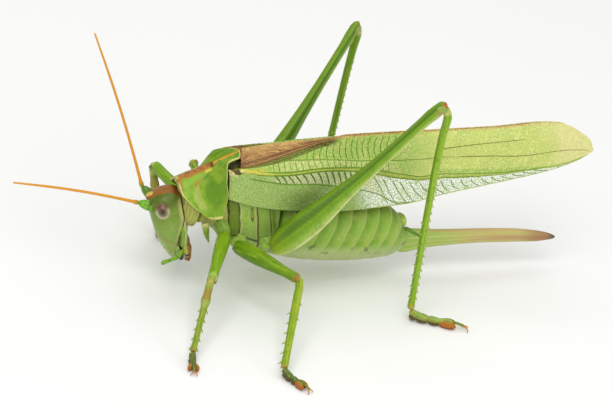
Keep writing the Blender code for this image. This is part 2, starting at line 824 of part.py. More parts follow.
def knee_inside(leg, side):
    """The direction square to a tibia that points into the bend of its knee."""
    root, knee, head, ankle, _ = leg_points(leg, side)
    ahead = (ankle - head).normalized()
    back = root - knee
    return (back - ahead * back.dot(ahead)).normalized()


def tibia_place(leg, side, share):
    """A point on a tibia's middle line."""
    _, _, head, ankle, _ = leg_points(leg, side)
    return head.lerp(ankle, share) + knee_inside(leg, side) * (TIBIA_BOWS[leg] * math.sin(math.pi * share ** 0.5))


def build_tibia(leg, side):
    """The shin, from just under the knee to the ankle."""
    shape = TIBIA_SHAPES[leg]
    places = [tibia_place(leg, side, share) for share, _ in shape]
    sizes = [(radius, radius) for _, radius in shape]
    return limb(f"{leg}_{side_name('tibia', side)}", places, sizes, leg_side(leg, side), 8)


def build_spine(place, direction, length):
    """A tapered spine of few sides that starts at a place under the skin."""
    bm = bmesh.new()
    bmesh.ops.create_cone(bm, cap_ends=True, segments=5, radius1=SPINE_RADIUS, radius2=0, depth=length)
    bmesh.ops.translate(bm, verts=bm.verts, vec=(0, 0, length / 2))
    turn = UP.rotation_difference(direction).to_matrix()
    bmesh.ops.rotate(bm, verts=bm.verts, cent=(0, 0, 0), matrix=turn)
    bmesh.ops.translate(bm, verts=bm.verts, vec=place)
    bmesh.ops.triangulate(bm, faces=bm.faces)
    return object_from(bm, "spine")


def add_spines(tibia, leg, side):
    """Fuses the rows of spines onto a tibia; each leans towards the foot."""
    _, _, head, ankle, _ = leg_points(leg, side)
    ahead = (ankle - head).normalized()
    inside, outwards = knee_inside(leg, side), leg_side(leg, side)
    spines = []
    for start, end, count, length, turns in SPINE_ROWS[leg]:
        for i in range(count):
            share = start + (end - start) * i / (count - 1)
            radius = along(TIBIA_SHAPES[leg], share)
            for turn in turns:
                angle = math.radians(turn)
                radial = inside * math.cos(angle) + outwards * math.sin(angle)
                place = tibia_place(leg, side, share) + radial * (radius * SPINE_DEPTH)
                direction = radial * math.cos(SPINE_LEAN) + ahead * math.sin(SPINE_LEAN)
                spines.append(build_spine(place, direction, length + radius * (1 - SPINE_DEPTH)))
    join(tibia, spines)


def build_tarsus(leg, side):
    """The foot: pads cut flat on the floor, a last joint over them and two claws."""
    _, _, head, ankle, tip = leg_points(leg, side)
    size = FOOT_SIZES[leg]
    start = Vector((ankle.x, ankle.y, 0))
    ahead = Vector((tip.x - ankle.x, tip.y - ankle.y, 0))
    length = ahead.length
    ahead.normalize()
    across = UP.cross(ahead)

    def place(share, aside, height):
        """A point of the foot."""
        return start + ahead * (length * share) + across * (aside * size) + UP * (height * size)

    line = [ankle + (ankle - head).normalized() * 0.1]
    line += [place(share, 0, height) for share, height, _ in FOOT_LINE]
    sizes = [(0.40, 0.36)] + [(radius * size, radius * size) for _, _, radius in FOOT_LINE]
    foot = limb(f"{leg}_{side_name('tarsus', side)}", line, sizes, across, 7)
    pieces = []
    for share, reach, width, height, aside in FOOT_PADS:
        centre = place(share, aside, height - PAD_SINK)
        radii = (reach * length, width * size, height * size)
        pieces.append(ellipsoid("pad", centre, (ahead, across, UP), radii, 4, 7))
    for turn in (-1, 1):
        points = [place(share, aside * turn, height) for share, aside, height, _ in CLAW_LINE]
        pieces.append(limb("claw", points, [(row[3], row[3]) for row in CLAW_LINE], across, 4))
    join(foot, pieces)
    thin_out(foot, FOOT_KEPT)
    cut_below_floor(foot)
    return foot


def thin_out(obj, share):
    """Merges small triangles until this share of them is left."""
    modifier = obj.modifiers.new("fewer", "DECIMATE")
    modifier.ratio = share
    apply_modifiers(obj)


def cut_below_floor(obj):
    """Cuts the piece flat at the floor and closes the cut."""
    bm = bmesh.new()
    bm.from_mesh(obj.data)
    whole = list(bm.verts) + list(bm.edges) + list(bm.faces)
    found = bmesh.ops.bisect_plane(bm, geom=whole, plane_co=(0, 0, 0), plane_no=(0, 0, -1), clear_outer=True)
    rim = [edge for edge in found["geom_cut"] if isinstance(edge, bmesh.types.BMEdge)]
    bmesh.ops.holes_fill(bm, edges=rim)
    bmesh.ops.triangulate(bm, faces=bm.faces)
    bmesh.ops.recalc_face_normals(bm, faces=bm.faces)
    bm.to_mesh(obj.data)
    bm.free()


def material(name, colour, roughness):
    """A plain finish."""
    made = bpy.data.materials.new(name)
    made.use_nodes = True
    shader = made.node_tree.nodes["Principled BSDF"]
    shader.inputs["Base Color"].default_value = (*colour, 1)
    shader.inputs["Roughness"].default_value = roughness
    return made


def set_in_metres(obj, root, parent, finish):
    """Moves the origin to the piece's root, turns its sizes into metres and dresses it."""
    obj.data.transform(Matrix.Translation(-root))
    obj.data.transform(Matrix.Scale(MM, 4))
    obj.location = (root - ORIGIN) * MM
    obj.parent = parent
    obj.data.materials.clear()
    obj.data.materials.append(finish)
    obj.data.shade_smooth()


def build_mouth(head):
    """Lip, jaws and palps, each kept clear of those before it."""
    pieces = {"labrum": build_labrum()}
    clear_of(pieces["labrum"], head)
    for side in (1, -1):
        mandible = build_mandible(side)
        clear_of(mandible, head, pieces["labrum"])
        maxilla = build_maxilla(side)
        clear_of(maxilla, head, mandible)
        palp = build_maxillary_palp(side)
        clear_of(palp, maxilla, mandible)
        lower = build_labial_palp(side)
        clear_of(lower, maxilla)
        for piece in (mandible, maxilla, palp, lower):
            pieces[piece.name] = piece
    return pieces


def build_all():
    """Every piece, in millimetres, kept clear of what it grows from."""
    head = build_head()
    eyes = [build_eye(side) for side in (1, -1)]
    clear_of(head, *eyes)
    pieces = {piece.name: piece for piece in (head, *eyes)}
    pieces.update(build_mouth(head))
    for side in (1, -1):
        antenna = build_antenna(side)
        clear_of(antenna, head)
        pieces[antenna.name] = antenna
    pronotum = build_pronotum()
    thorax = body_loft("thorax", THORAX_LEVELS, [row[0] for row in THORAX_LEVELS], 20)
    neck = body_loft("neck", NECK_LEVELS, [row[0] for row in NECK_LEVELS], 16)
    clear_of(thorax, pronotum)
    clear_of(neck, pronotum, head)
    abdomen = build_abdomen()
    ovipositor = build_ovipositor()
    clear_of(ovipositor, abdomen)
    for piece in (pronotum, thorax, neck, abdomen, ovipositor):
        pieces[piece.name] = piece
    for side in (1, -1):
        cercus = build_cercus(side)
        clear_of(cercus, abdomen)
        tegmen = build_tegmen(side)
        clear_of(tegmen, thorax, pronotum)
        hindwing = build_hindwing(side)
        for piece in (cercus, tegmen, hindwing):
            pieces[piece.name] = piece
    tegmina = [pieces["tegmen_left"], pieces["tegmen_right"]]
    clear_of(pieces["hindwing_left"], thorax, *tegmina)
    clear_of(pieces["hindwing_right"], thorax, *tegmina)
    for leg in ("front", "mid", "hind"):
        for side in (1, -1):
            coxa = build_coxa(leg, side)
            femur = build_femur(leg, side)
            clear_of(femur, coxa, thorax)
            clear_of(coxa, thorax, pronotum, abdomen)
            tibia = build_tibia(leg, side)
            clear_of(tibia, femur)
            tarsus = build_tarsus(leg, side)
            clear_of(tarsus, tibia)
            add_spines(tibia, leg, side)
            for piece in (coxa, femur, tibia, tarsus):
                pieces[piece.name] = piece
    return pieces


def root_of(obj):
    """A piece's own origin: the middle of its box."""
    corners = [Vector(corner) for corner in obj.bound_box]
    return sum(corners, Vector()) / 8


def finish_for(name, finishes):
    """The finish that a piece of this name takes."""
    if name.startswith(("tegmen", "hindwing")):
        return finishes["wing"]
    if name.startswith("eye"):
        return finishes["eye"]
    if name.startswith("antenna"):
        return finishes["feeler"]
    if any(word in name for word in ("femur", "tibia", "tarsus", "coxa")):
        return finishes["leg"]
    return finishes["body"]


def main():
    """Builds the animal."""
    finishes = {
        "leg": material("leg_skin", LEG_COLOUR, 0.45),
        "body": material("body_skin", BODY_COLOUR, 0.45),
        "wing": material("wing_skin", WING_COLOUR, 0.5),
        "eye": material("eye_skin", EYE_COLOUR, 0.15),
        "feeler": material("feeler_skin", FEELER_COLOUR, 0.5),
    }
    parent = bpy.data.objects.new("bush_cricket", None)
    PARTS.objects.link(parent)
    for name, obj in build_all().items():
        set_in_metres(obj, root_of(obj), parent, finish_for(name, finishes))


for old in list(bpy.data.objects):
    bpy.data.objects.remove(old)
PARTS = bpy.data.collections.new("great_green_bush_cricket")
bpy.context.scene.collection.children.link(PARTS)
main()
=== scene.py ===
"""Great green bush-cricket, a female: the dressed, life-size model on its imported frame.

Sizes and places are worked out in millimetres and turned into metres as each mesh is made. X runs to
the tail, the animal's left side is -Y, and the floor is Z = 0.
"""

import logging
import math
from dataclasses import dataclass, field
from enum import Enum
from typing import Any, Callable, Sequence

import bpy
import numpy as np
from mathutils import Matrix, Vector


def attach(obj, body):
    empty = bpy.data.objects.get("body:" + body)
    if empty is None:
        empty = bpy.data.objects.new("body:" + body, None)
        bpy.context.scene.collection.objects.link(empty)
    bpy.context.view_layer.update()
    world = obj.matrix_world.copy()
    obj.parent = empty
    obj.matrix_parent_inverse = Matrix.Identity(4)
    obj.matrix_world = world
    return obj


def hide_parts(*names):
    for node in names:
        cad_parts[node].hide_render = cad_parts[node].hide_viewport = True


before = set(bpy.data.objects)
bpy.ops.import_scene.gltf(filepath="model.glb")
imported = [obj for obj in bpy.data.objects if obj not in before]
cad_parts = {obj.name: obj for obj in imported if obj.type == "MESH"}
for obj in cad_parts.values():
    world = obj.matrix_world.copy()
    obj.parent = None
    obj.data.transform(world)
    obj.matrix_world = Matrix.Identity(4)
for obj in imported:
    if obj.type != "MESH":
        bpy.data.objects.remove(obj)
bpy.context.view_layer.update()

LOG = logging.getLogger("bush_cricket")
MM = 0.001
ORIGIN = np.array((16.23, -4.14, 0.0))
# Points closer than this, in metres, are merged, and faces thinner than the second size dissolved.
MERGE = 2e-7
SLIVER = 1e-8
ACROSS = (0.0, -1.0, 0.0)
UP = (0.0, 0.0, 1.0)

Tint = tuple[int, int, int]
Keys = Sequence[tuple]
TwoArrays = tuple[np.ndarray, np.ndarray]
Surface = Callable[[np.ndarray, np.ndarray], TwoArrays]
Piece = bpy.types.Object
Socket = bpy.types.NodeSocket
Material = bpy.types.Material


class Side(Enum):
    """The animal's own sides."""

    LEFT = 1
    RIGHT = -1

    @property
    def word(self) -> str:
        """The side's name as node names give it."""
        return self.name.lower()


class Pair(Enum):
    """The three pairs of legs."""

    FRONT = "front"
    MID = "mid"
    HIND = "hind"


def along(keys: Keys, place: np.ndarray) -> np.ndarray:
    """Reads a smooth curve that doesn't overshoot its keys.

    Args:
        keys: rows of a place and its value, or its point.
        place: the places to read.

    Returns:
        One value or point for each place.
    """
    return between([key[0] for key in keys], np.array([key[1] for key in keys], float), place)


def between(places: Sequence[float], values: np.ndarray, place: np.ndarray) -> np.ndarray:
    """Reads a smooth curve through values at rising places.

    Args:
        places: where the values are.
        values: one value, point, or row of points for each of them.
        place: the places to read.

    Returns:
        One value or point for each place.
    """
    x = np.array(places, float)
    place = np.clip(np.asarray(place, float), x[0], x[-1])
    wide = (slice(None),) + (None,) * (values.ndim - 1)
    rises = np.diff(values, axis=0) / np.diff(x)[wide]
    slopes = np.concatenate([rises[:1], rises[1:], rises[-1:]])
    before, after = rises[:-1], rises[1:]
    total = np.where(before + after == 0, 1, before + after)
    slopes[1:-1] = np.where(before * after > 0, 2 * before * after / total, 0)
    first = np.clip(np.searchsorted(x, place, side="right") - 1, 0, len(x) - 2)
    width = x[first + 1] - x[first]
    t = (place - x[first]) / width
    if values.ndim == 3:
        pick = (first, np.arange(len(place)))
        follow = (first + 1, np.arange(len(place)))
    else:
        pick, follow = first, first + 1
    if values.ndim > 1:
        t, width = t[:, None], width[:, None]
    return (
        values[pick] * (2 * t**3 - 3 * t**2 + 1)
        + values[follow] * (3 * t**2 - 2 * t**3)
        + width * slopes[pick] * (t**3 - 2 * t**2 + t)
        + width * slopes[follow] * (t**3 - t**2)
    )


def unit(vectors: np.ndarray) -> np.ndarray:
    """Gives each vector the length 1."""
    return vectors / np.maximum(np.linalg.norm(vectors, axis=-1, keepdims=True), 1e-9)


def bell(value: np.ndarray, centre: float, width: float) -> np.ndarray:
    """A smooth bump of height 1 at the centre that has gone at about twice the width."""
    return np.exp(-(((value - centre) / width) ** 2))


def squarer(value: np.ndarray, power: float) -> np.ndarray:
    """Takes a sine or cosine outwards: a power over 2 makes a round section squarer."""
    return np.sign(value) * np.abs(value) ** (2 / power)


class Bench:
    """The hand operations that the pieces are made with."""

    @staticmethod
    def clear() -> None:
        """Leaves nothing selected."""
        if bpy.context.object and bpy.context.object.mode != "OBJECT":
            bpy.ops.object.mode_set(mode="OBJECT")
        bpy.ops.object.select_all(action="DESELECT")

    @staticmethod
    def pick(obj: Piece) -> None:
        """Selects one object and makes it active."""
        Bench.clear()
        obj.select_set(True)
        bpy.context.view_layer.objects.active = obj

    @staticmethod
    def formed(name: str, columns: int, rows: int, surface: Surface) -> Piece:
        """Adds a grid, lays its points on a surface and closes its seams and poles.

        Args:
            name: the object's name.
            columns: faces round it.
            rows: faces along it.
            surface: gives points in millimetres and pattern places for shares round and along it.

        Returns:
            The object, in metres, with its pattern places in the attribute "lie".
        """
        Bench.clear()
        bpy.ops.mesh.primitive_grid_add(x_subdivisions=columns, y_subdivisions=rows, size=1.0)
        obj = bpy.context.object
        flat = Bench.read(obj.data.vertices, "co")
        Bench.lay_out(obj, name, *surface(flat[:, 0] + 0.5, flat[:, 1] + 0.5))
        Bench.close(obj)
        return obj

    @staticmethod
    def read(rows: Any, key: str) -> np.ndarray:
        """Reads a vector of each point, as rows."""
        flat = np.empty(len(rows) * 3, np.float32)
        rows.foreach_get(key, flat)
        return flat.reshape(-1, 3)

    @staticmethod
    def mark(obj: Piece, name: str, places: np.ndarray) -> None:
        """Keeps three pattern places of each point in the mesh, under a name."""
        if name not in obj.data.attributes:
            obj.data.attributes.new(name, "FLOAT_VECTOR", "POINT")
        obj.data.attributes[name].data.foreach_set("vector", places.astype(np.float32).ravel())

    @staticmethod
    def lay_out(obj: Piece, name: str, points: np.ndarray, lie: np.ndarray) -> None:
        """Names an object, moves its points, given in millimetres, and keeps their pattern places."""
        obj.name = name
        obj.data.name = name
        obj.data.vertices.foreach_set("co", ((points - ORIGIN) * MM).astype(np.float32).ravel())
        Bench.mark(obj, "lie", lie)

    @staticmethod
    def lengthwise(obj: Piece, levels: Keys) -> None:
        """Turns a body piece's second pattern place from a share into millimetres along X."""
        first, last = levels[0][0], levels[-1][0]
        lie = Bench.read(obj.data.attributes["lie"].data, "vector")
        lie[:, 1] = first + (last - first) * lie[:, 1]
        Bench.mark(obj, "lie", lie)

    @staticmethod
    def close(obj: Piece, merge: bool = True) -> None:
        """Merges points that lie on each other, if asked to, and turns the faces outwards."""
        Bench.pick(obj)
        bpy.ops.object.mode_set(mode="EDIT")
        bpy.ops.mesh.select_all(action="SELECT")
        if merge:
            bpy.ops.mesh.remove_doubles(threshold=MERGE)
            bpy.ops.mesh.dissolve_degenerate(threshold=SLIVER)
        bpy.ops.mesh.normals_make_consistent(inside=False)
        bpy.ops.object.mode_set(mode="OBJECT")
        bpy.ops.object.shade_smooth()

    @staticmethod
    def applied(obj: Piece, kind: str, **settings: Any) -> None:
        """Adds a modifier with its settings and applies it."""
        Bench.pick(obj)
        modifier = obj.modifiers.new(kind.lower(), kind)
        for key, value in settings.items():
            setattr(modifier, key, value)
        bpy.ops.object.modifier_apply(modifier=modifier.name)

    @staticmethod
    def joined(name: str, pieces: list[Piece]) -> Piece:
        """Makes one object of several."""
        Bench.clear()
        for piece in pieces:
            piece.select_set(True)
        bpy.context.view_layer.objects.active = pieces[0]
        if len(pieces) > 1:
            bpy.ops.object.join()
        pieces[0].name = name
        pieces[0].data.name = name
        return pieces[0]


@dataclass(frozen=True)
class Tube:
    """A rounded form along a line.

    Attributes:
        line: shares and points of its middle line.
        sizes: shares, half width across and half height, or one radius for both.
        side: points across it, outwards, where patterns read +1.
        top: points to the side where patterns read +1 upwards.
        power: over 2 makes the section squarer.
        ends: share of the length in which each end rounds off.
        relief: height in millimetres that stands out, from the pattern places.
        cap_rows: rows of faces in each rounded end.
        upright: keeps every section square to the X axis.
    """

    line: Keys
    sizes: Keys
    side: Sequence[float]
    top: Sequence[float] = UP
    power: float = 2.0
    ends: tuple[float, float] = (0.03, 0.03)
    relief: Callable[[np.ndarray], np.ndarray] | None = None
    cap_rows: int = 5
    upright: bool = False

    def surface(self, rows: int) -> Surface:
        """The surface for a grid with this many rows."""

        def place(turn: np.ndarray, run: np.ndarray) -> TwoArrays:
            """Points and pattern places for turns round the tube and runs along it."""
            share, closing = self.stations(np.round(run * rows), rows)
            centre = along(self.line, share)
            ahead = unit(along(self.line, share + 0.01) - along(self.line, share - 0.01))
            if self.upright:
                ahead = np.tile((1.0, 0.0, 0.0), (len(share), 1))
            side = np.array(self.side, float)
            across = unit(side - ahead * (ahead @ side)[:, None])
            up = np.cross(ahead, across)
            up *= np.sign((up * np.array(self.top, float)).sum(axis=1).mean())
            angle = 2 * math.pi * turn
            x = squarer(np.cos(angle), self.power)
            z = squarer(np.sin(angle), self.power)
            lie = np.stack([x * closing, share, z * closing], axis=1)
            wide = along([(row[0], row[1]) for row in self.sizes], share)
            high = along([(row[0], row[-1]) for row in self.sizes], share)
            if self.relief:
                stand = self.relief(np.stack([np.cos(angle), share, np.sin(angle)], axis=1))
                wide = wide + stand
                high = high + stand
            points = centre + across * (wide * x * closing)[:, None] + up * (high * z * closing)[:, None]
            return points, lie

        return place

    def stations(self, index: np.ndarray, rows: int) -> TwoArrays:
        """Shares of the length and how open the tube is there, with rounded ends."""
        start, end = self.ends
        caps = self.cap_rows
        body = np.clip((index - caps) / (rows - 2 * caps), 0, 1)
        share = start + (1 - start - end) * body
        closing = np.ones_like(share)
        rising = np.clip(index / caps, 0, 1) * math.pi / 2
        falling = np.clip((rows - index) / caps, 0, 1) * math.pi / 2
        share = np.where(index < caps, start * (1 - np.cos(rising)), share)
        share = np.where(index > rows - caps, 1 - end * (1 - np.cos(falling)), share)
        closing = np.where(index < caps, np.sin(rising), closing)
        closing = np.where(index > rows - caps, np.sin(falling), closing)
        return share, closing

    def build(self, name: str, columns: int = 20, rows: int = 40) -> Piece:
        """Makes the tube's object."""
        return Bench.formed(name, columns, rows, self.surface(rows))


def straight(points: Sequence[Sequence[float]]) -> list[tuple]:
    """Keys of a line through points, by their shares of its length."""
    array = np.array(points, float)
    steps = np.concatenate([[0], np.cumsum(np.linalg.norm(np.diff(array, axis=0), axis=1))])
    return [(share, tuple(point)) for share, point in zip(steps / steps[-1], array)]


def ball(
    name: str, centre: np.ndarray, axes: np.ndarray, radii: Sequence[float], rings: int = 16, sides: int = 24,
    floor: bool = False,
) -> Piece:
    """Adds a sphere, stretches it along three axes and keeps its pattern places.

    Args:
        name: the object's name.
        centre: its middle, in millimetres.
        axes: three directions as rows.
        radii: the radius along each axis.
        rings: rings of faces.
        sides: faces round it.
        floor: whether it is flattened where it meets the floor.

    Returns:
        The object, in metres.
    """
    Bench.clear()
    bpy.ops.mesh.primitive_uv_sphere_add(segments=sides, ring_count=rings, radius=1.0)
    obj = bpy.context.object
    lie = Bench.read(obj.data.vertices, "co").astype(float)
    points = np.array(centre) + (lie * np.array(radii)) @ np.array(axes)
    if floor:
        points[:, 2] = np.maximum(points[:, 2], 0.0)
    Bench.lay_out(obj, name, points, lie)
    Bench.close(obj, merge=False)
    return obj


def shade(tint: Tint) -> tuple[float, float, float, float]:
    """Turns a colour as seen on a screen, 0 to 255, into the light that a shader takes."""
    parts = [part / 255 for part in tint]
    light = [part / 12.92 if part <= 0.04045 else ((part + 0.055) / 1.055) ** 2.4 for part in parts]
    return (*light, 1.0)


class Num:
    """A value in a node tree: arithmetic on it adds Math nodes."""

    def __init__(self, palette: "Palette", socket: Socket) -> None:
        """Keeps the socket and the tree that it is in."""
        self.palette = palette
        self.socket = socket

    def __add__(self, other: "Num | float") -> "Num":
        """Adds."""
        return self.palette.math("ADD", self, other)

    __radd__ = __add__

    def __sub__(self, other: "Num | float") -> "Num":
        """Takes away."""
        return self.palette.math("SUBTRACT", self, other)

    def __rsub__(self, other: "Num | float") -> "Num":
        """Is taken away from a number."""
        return self.palette.math("SUBTRACT", other, self)

    def __mul__(self, other: "Num | float") -> "Num":
        """Multiplies."""
        return self.palette.math("MULTIPLY", self, other)

    __rmul__ = __mul__

    def __abs__(self) -> "Num":
        """Drops the sign."""
        return self.palette.math("ABSOLUTE", self)

    def sine(self) -> "Num":
        """The sine of the value."""
        return self.palette.math("SINE", self)

    def most(self, other: "Num | float") -> "Num":
        """The larger of the two."""
        return self.palette.math("MAXIMUM", self, other)

    def rise(self, low: float, high: float) -> "Num":
        """0 at low, 1 at high, smooth between; low may be the larger one."""
        node = self.palette.node(
            "ShaderNodeMapRange",
            {"interpolation_type": "SMOOTHSTEP"},
            {"Value": self, "From Min": low, "From Max": high},
        )
        return Num(self.palette, node.outputs[0])

    def band(self, low: float, high: float, soft: float) -> "Num":
        """1 between low and high, with soft edges."""
        return self.rise(low - soft, low + soft) * self.rise(high + soft, high - soft)

    def near(self, centre: float, width: float, soft: float = 0.5) -> "Num":
        """1 within the width of the centre, fading over a share of it."""
        return abs(self - centre).rise(width * (1 + soft), width * (1 - soft))


class Palette:
    """The node tree of one material, and the one method that makes its nodes."""

    def __init__(self, name: str, ground: Tint) -> None:
        """Starts a material with its surface shader and one colour all over."""
        self.material = bpy.data.materials.new(name)
        self.material.use_nodes = True
        self.tree = self.material.node_tree
        self.shader = self.tree.nodes["Principled BSDF"]
        self.colour: Any = ground

    def node(self, kind: str, settings: dict | None = None, sockets: dict | None = None) -> bpy.types.Node:
        """Makes a node.

        Args:
            kind: the node's type.
            settings: its own settings, such as a Math node's operation.
            sockets: a value, a colour, a Num or a socket for each input, by name or number.

        Returns:
            The node.
        """
        made = self.tree.nodes.new(kind)
        for key, value in (settings or {}).items():
            setattr(made, key, value)
        for key, value in (sockets or {}).items():
            self.feed(made.inputs[key], value)
        return made

    def feed(self, socket: Socket, value: Any) -> None:
        """Links a socket or a Num, or sets a constant."""
        if isinstance(value, Num):
            value = value.socket
        if isinstance(value, Socket):
            self.tree.links.new(value, socket)
        else:
            socket.default_value = value

    def math(self, operation: str, *values: "Num | float") -> Num:
        """One Math node on values."""
        made = self.node("ShaderNodeMath", {"operation": operation}, dict(enumerate(values)))
        return Num(self, made.outputs[0])

    def lie(self, name: str = "lie") -> tuple[Num, Num, Num]:
        """The three pattern places that the piece keeps in its mesh."""
        mark = self.node("ShaderNodeAttribute", {"attribute_name": name})
        parts = self.node("ShaderNodeSeparateXYZ", None, {0: mark.outputs["Vector"]})
        return tuple(Num(self, parts.outputs[i]) for i in range(3))

    def vector(self, x: "Num | float", y: "Num | float", z: "Num | float" = 0.0) -> Socket:
        """A vector of three values."""
        return self.node("ShaderNodeCombineXYZ", None, {0: x, 1: y, 2: z}).outputs[0]

    def place(self) -> Socket:
        """The place on the object, in millimetres."""
        where = self.node("ShaderNodeTexCoord").outputs["Object"]
        sockets = {"Vector": where, "Scale": (1 / MM, 1 / MM, 1 / MM)}
        return self.node("ShaderNodeMapping", {"vector_type": "POINT"}, sockets).outputs[0]

    def noise(self, size: float, detail: float = 2.0, where: Socket | None = None) -> Num:
        """Soft spots of about a size in millimetres, from 0 to 1."""
        sockets = {"Vector": where or self.place(), "Scale": 1 / size, "Detail": detail}
        return Num(self, self.node("ShaderNodeTexNoise", None, sockets).outputs[0])

    def cells(self, size: float, where: Socket) -> Num:
        """Distance to the nearest edge of a net of cells of about a size."""
        sockets = {"Vector": where, "Scale": 1 / size}
        made = self.node("ShaderNodeTexVoronoi", {"feature": "DISTANCE_TO_EDGE"}, sockets)
        return Num(self, made.outputs["Distance"])

    def mix(self, mask: "Num | float", under: Any, over: Any) -> Socket:
        """Lays one colour over another where the mask is 1."""
        sockets = {0: mask, 6: self.tone(under), 7: self.tone(over)}
        return self.node("ShaderNodeMix", {"data_type": "RGBA"}, sockets).outputs[2]

    def lay(self, mask: "Num | float", over: Any) -> None:
        """Lays a colour over all that is there, where the mask is 1."""
        self.colour = self.mix(mask, self.colour, over)

    def tone(self, colour: Any) -> Any:
        """A socket as it is, and a screen colour turned into light."""
        return shade(colour) if isinstance(colour, tuple) else colour

    def bump(self, height: Num, depth: float) -> Socket:
        """A normal that shows a height, with its depth in millimetres."""
        sockets = {"Height": height, "Distance": depth * MM, "Strength": 1.0}
        return self.node("ShaderNodeBump", None, sockets).outputs[0]

    def close(self, roughness: "Num | float", normal: Any = None, **constants: float) -> Material:
        """Feeds the shader and hands over the material."""
        self.feed(self.shader.inputs["Base Color"], self.tone(self.colour))
        self.feed(self.shader.inputs["Roughness"], roughness)
        if normal:
            self.feed(self.shader.inputs["Normal"], normal)
        for key, value in constants.items():
            self.shader.inputs[key.replace("_", " ").title()].default_value = value
        self.shader.inputs["Specular IOR Level"].default_value = 0.3
        self.material.diffuse_color = (0.2, 0.4, 0.05, 1)
        return self.material


@dataclass(frozen=True)
class Ring:
    """A stretch of a limb in a colour of its own, by shares of the length."""

    start: float
    end: float
    soft: float
    tint: Tint


@dataclass(frozen=True)
class LimbFinish:
    """Smooth skin of a limb: a tone above, beside and below, a fine mottle, and rings of other tones."""

    name: str
    above: Tint
    beside: Tint
    below: Tint
    rings: tuple[Ring, ...] = ()
    spots: Tint = (74, 108, 16)
    light: Tint = (176, 190, 60)
    mottle: float = 0.45
    roughness: float = 0.36
    grain: float = 0.03

    def material(self) -> Material:
        """Builds the material."""
        palette = Palette(self.name, self.below)
        across, share, up = palette.lie()
        palette.lay(up.rise(-0.75, -0.25), self.beside)
        palette.lay(up.rise(0.35, 0.8), self.above)
        streaks = palette.noise(1.0, 3.0, palette.vector(across * 2.6, share * 5.0, up * 2.6))
        palette.lay(streaks.rise(0.50, 0.66) * self.mottle, self.spots)
        palette.lay(streaks.rise(0.46, 0.34) * self.mottle * 0.8, self.light)
        for ring in self.rings:
            palette.lay(share.band(ring.start, ring.end, ring.soft), ring.tint)
        fine = palette.noise(0.5, 3.0)
        broad = palette.noise(1.6)
        palette.lay(fine.rise(0.52, 0.74) * self.mottle, self.spots)
        palette.lay(broad.rise(0.5, 0.8) * self.mottle * 0.6, self.below)
        rough = self.roughness + (fine - 0.5) * 0.2
        return palette.close(rough, palette.bump(palette.noise(0.22, 3.0) + streaks * 1.5, self.grain))


THIGH_LENGTH = 27.6
# The slanting scales of the jumping thigh: radians of their wave for each millimetre, and the height of the
# ridge that they slant from.
SCALE_WAVE = 9.0
SCALE_RIDGE = 0.12


@dataclass(frozen=True)
class ThighFinish:
    """The jumping thigh: a dark band along the top, rows of slanting scales and a cream keel below."""

    name: str = "thigh_skin"
    above: Tint = (112, 148, 26)
    band: Tint = (74, 110, 14)
    middle: Tint = (116, 158, 26)
    below: Tint = (164, 192, 84)
    keel: Tint = (216, 214, 150)
    root: Tint = (150, 172, 30)
    knee: Tint = (164, 140, 80)
    cap: Tint = (176, 98, 44)
    dot: Tint = (30, 22, 14)

    def material(self) -> Material:
        """Builds the material."""
        palette = Palette(self.name, self.below)
        _, share, up = palette.lie()
        slant = abs(up - SCALE_RIDGE)
        scales = (share * THIGH_LENGTH * SCALE_WAVE + slant * SCALE_WAVE).sine() * 0.5 + 0.5
        field = share.band(0.04, 0.62, 0.05) * up.band(-0.62, 0.8, 0.12)
        palette.lay(up.rise(-0.6, 0.1), self.middle)
        palette.lay(up.band(0.42, 0.86, 0.12) * share.rise(1.0, 0.96) * 0.85, self.band)
        palette.lay(up.rise(0.82, 0.97), self.above)
        palette.lay(scales.rise(0.25, 0.95) * field * 0.08, self.band)
        palette.lay(up.near(SCALE_RIDGE, 0.05, 0.8) * field * 0.15, self.band)
        palette.lay(up.near(-0.7, 0.08, 0.8) * 0.9, self.keel)
        palette.lay(share.rise(0.14, 0.0) * 0.6, self.root)
        knee = share.near(0.955, 0.02, 0.8) * up.near(-0.15, 0.4, 0.8)
        palette.lay(knee * 0.8, self.knee)
        palette.lay(share.rise(0.974, 0.988) * up.band(-0.5, 0.55, 0.15), self.cap)
        palette.lay(share.near(0.966, 0.006) * up.near(0.1, 0.16), self.dot)
        palette.lay(palette.noise(0.9, 4.0).rise(0.45, 0.75) * 0.3, self.band)
        height = scales * field * 0.2 + palette.noise(0.25, 3.0) * 0.3
        return palette.close(0.36 + palette.noise(0.6) * 0.12, palette.bump(height, 0.06))


@dataclass(frozen=True)
class HornFinish:
    """Hard horn that darkens to its tip: claws, spines and jaws."""

    name: str
    root: Tint
    tip: Tint
    start: float = 0.4
    end: float = 0.75
    roughness: float = 0.25

    def material(self) -> Material:
        """Builds the material."""
        palette = Palette(self.name, self.root)
        _, share, _ = palette.lie()
        palette.lay(share.rise(self.start, self.end), self.tip)
        palette.lay(palette.noise(0.3).rise(0.5, 0.8) * 0.25, self.tip)
        return palette.close(self.roughness, palette.bump(palette.noise(0.15), 0.01))


@dataclass(frozen=True)
class JawFinish:
    """A jaw, pale green outside, with a dark biting edge and tip."""

    name: str = "jaw_horn"
    green: Tint = (146, 172, 88)
    pale: Tint = (190, 200, 140)
    dark: Tint = (52, 32, 18)

    def material(self) -> Material:
        """Builds the material."""
        palette = Palette(self.name, self.green)
        _, share, up = palette.lie()
        palette.lay(up.rise(0.5, 0.95) * 0.5, self.pale)
        palette.lay(share.rise(0.35, 0.6).most(up.rise(-0.1, -0.6)), self.dark)
        return palette.close(0.3, palette.bump(palette.noise(0.2), 0.015))


# Share of a feeler's length that each of its short joints takes.
FEELER_JOINT = 0.011


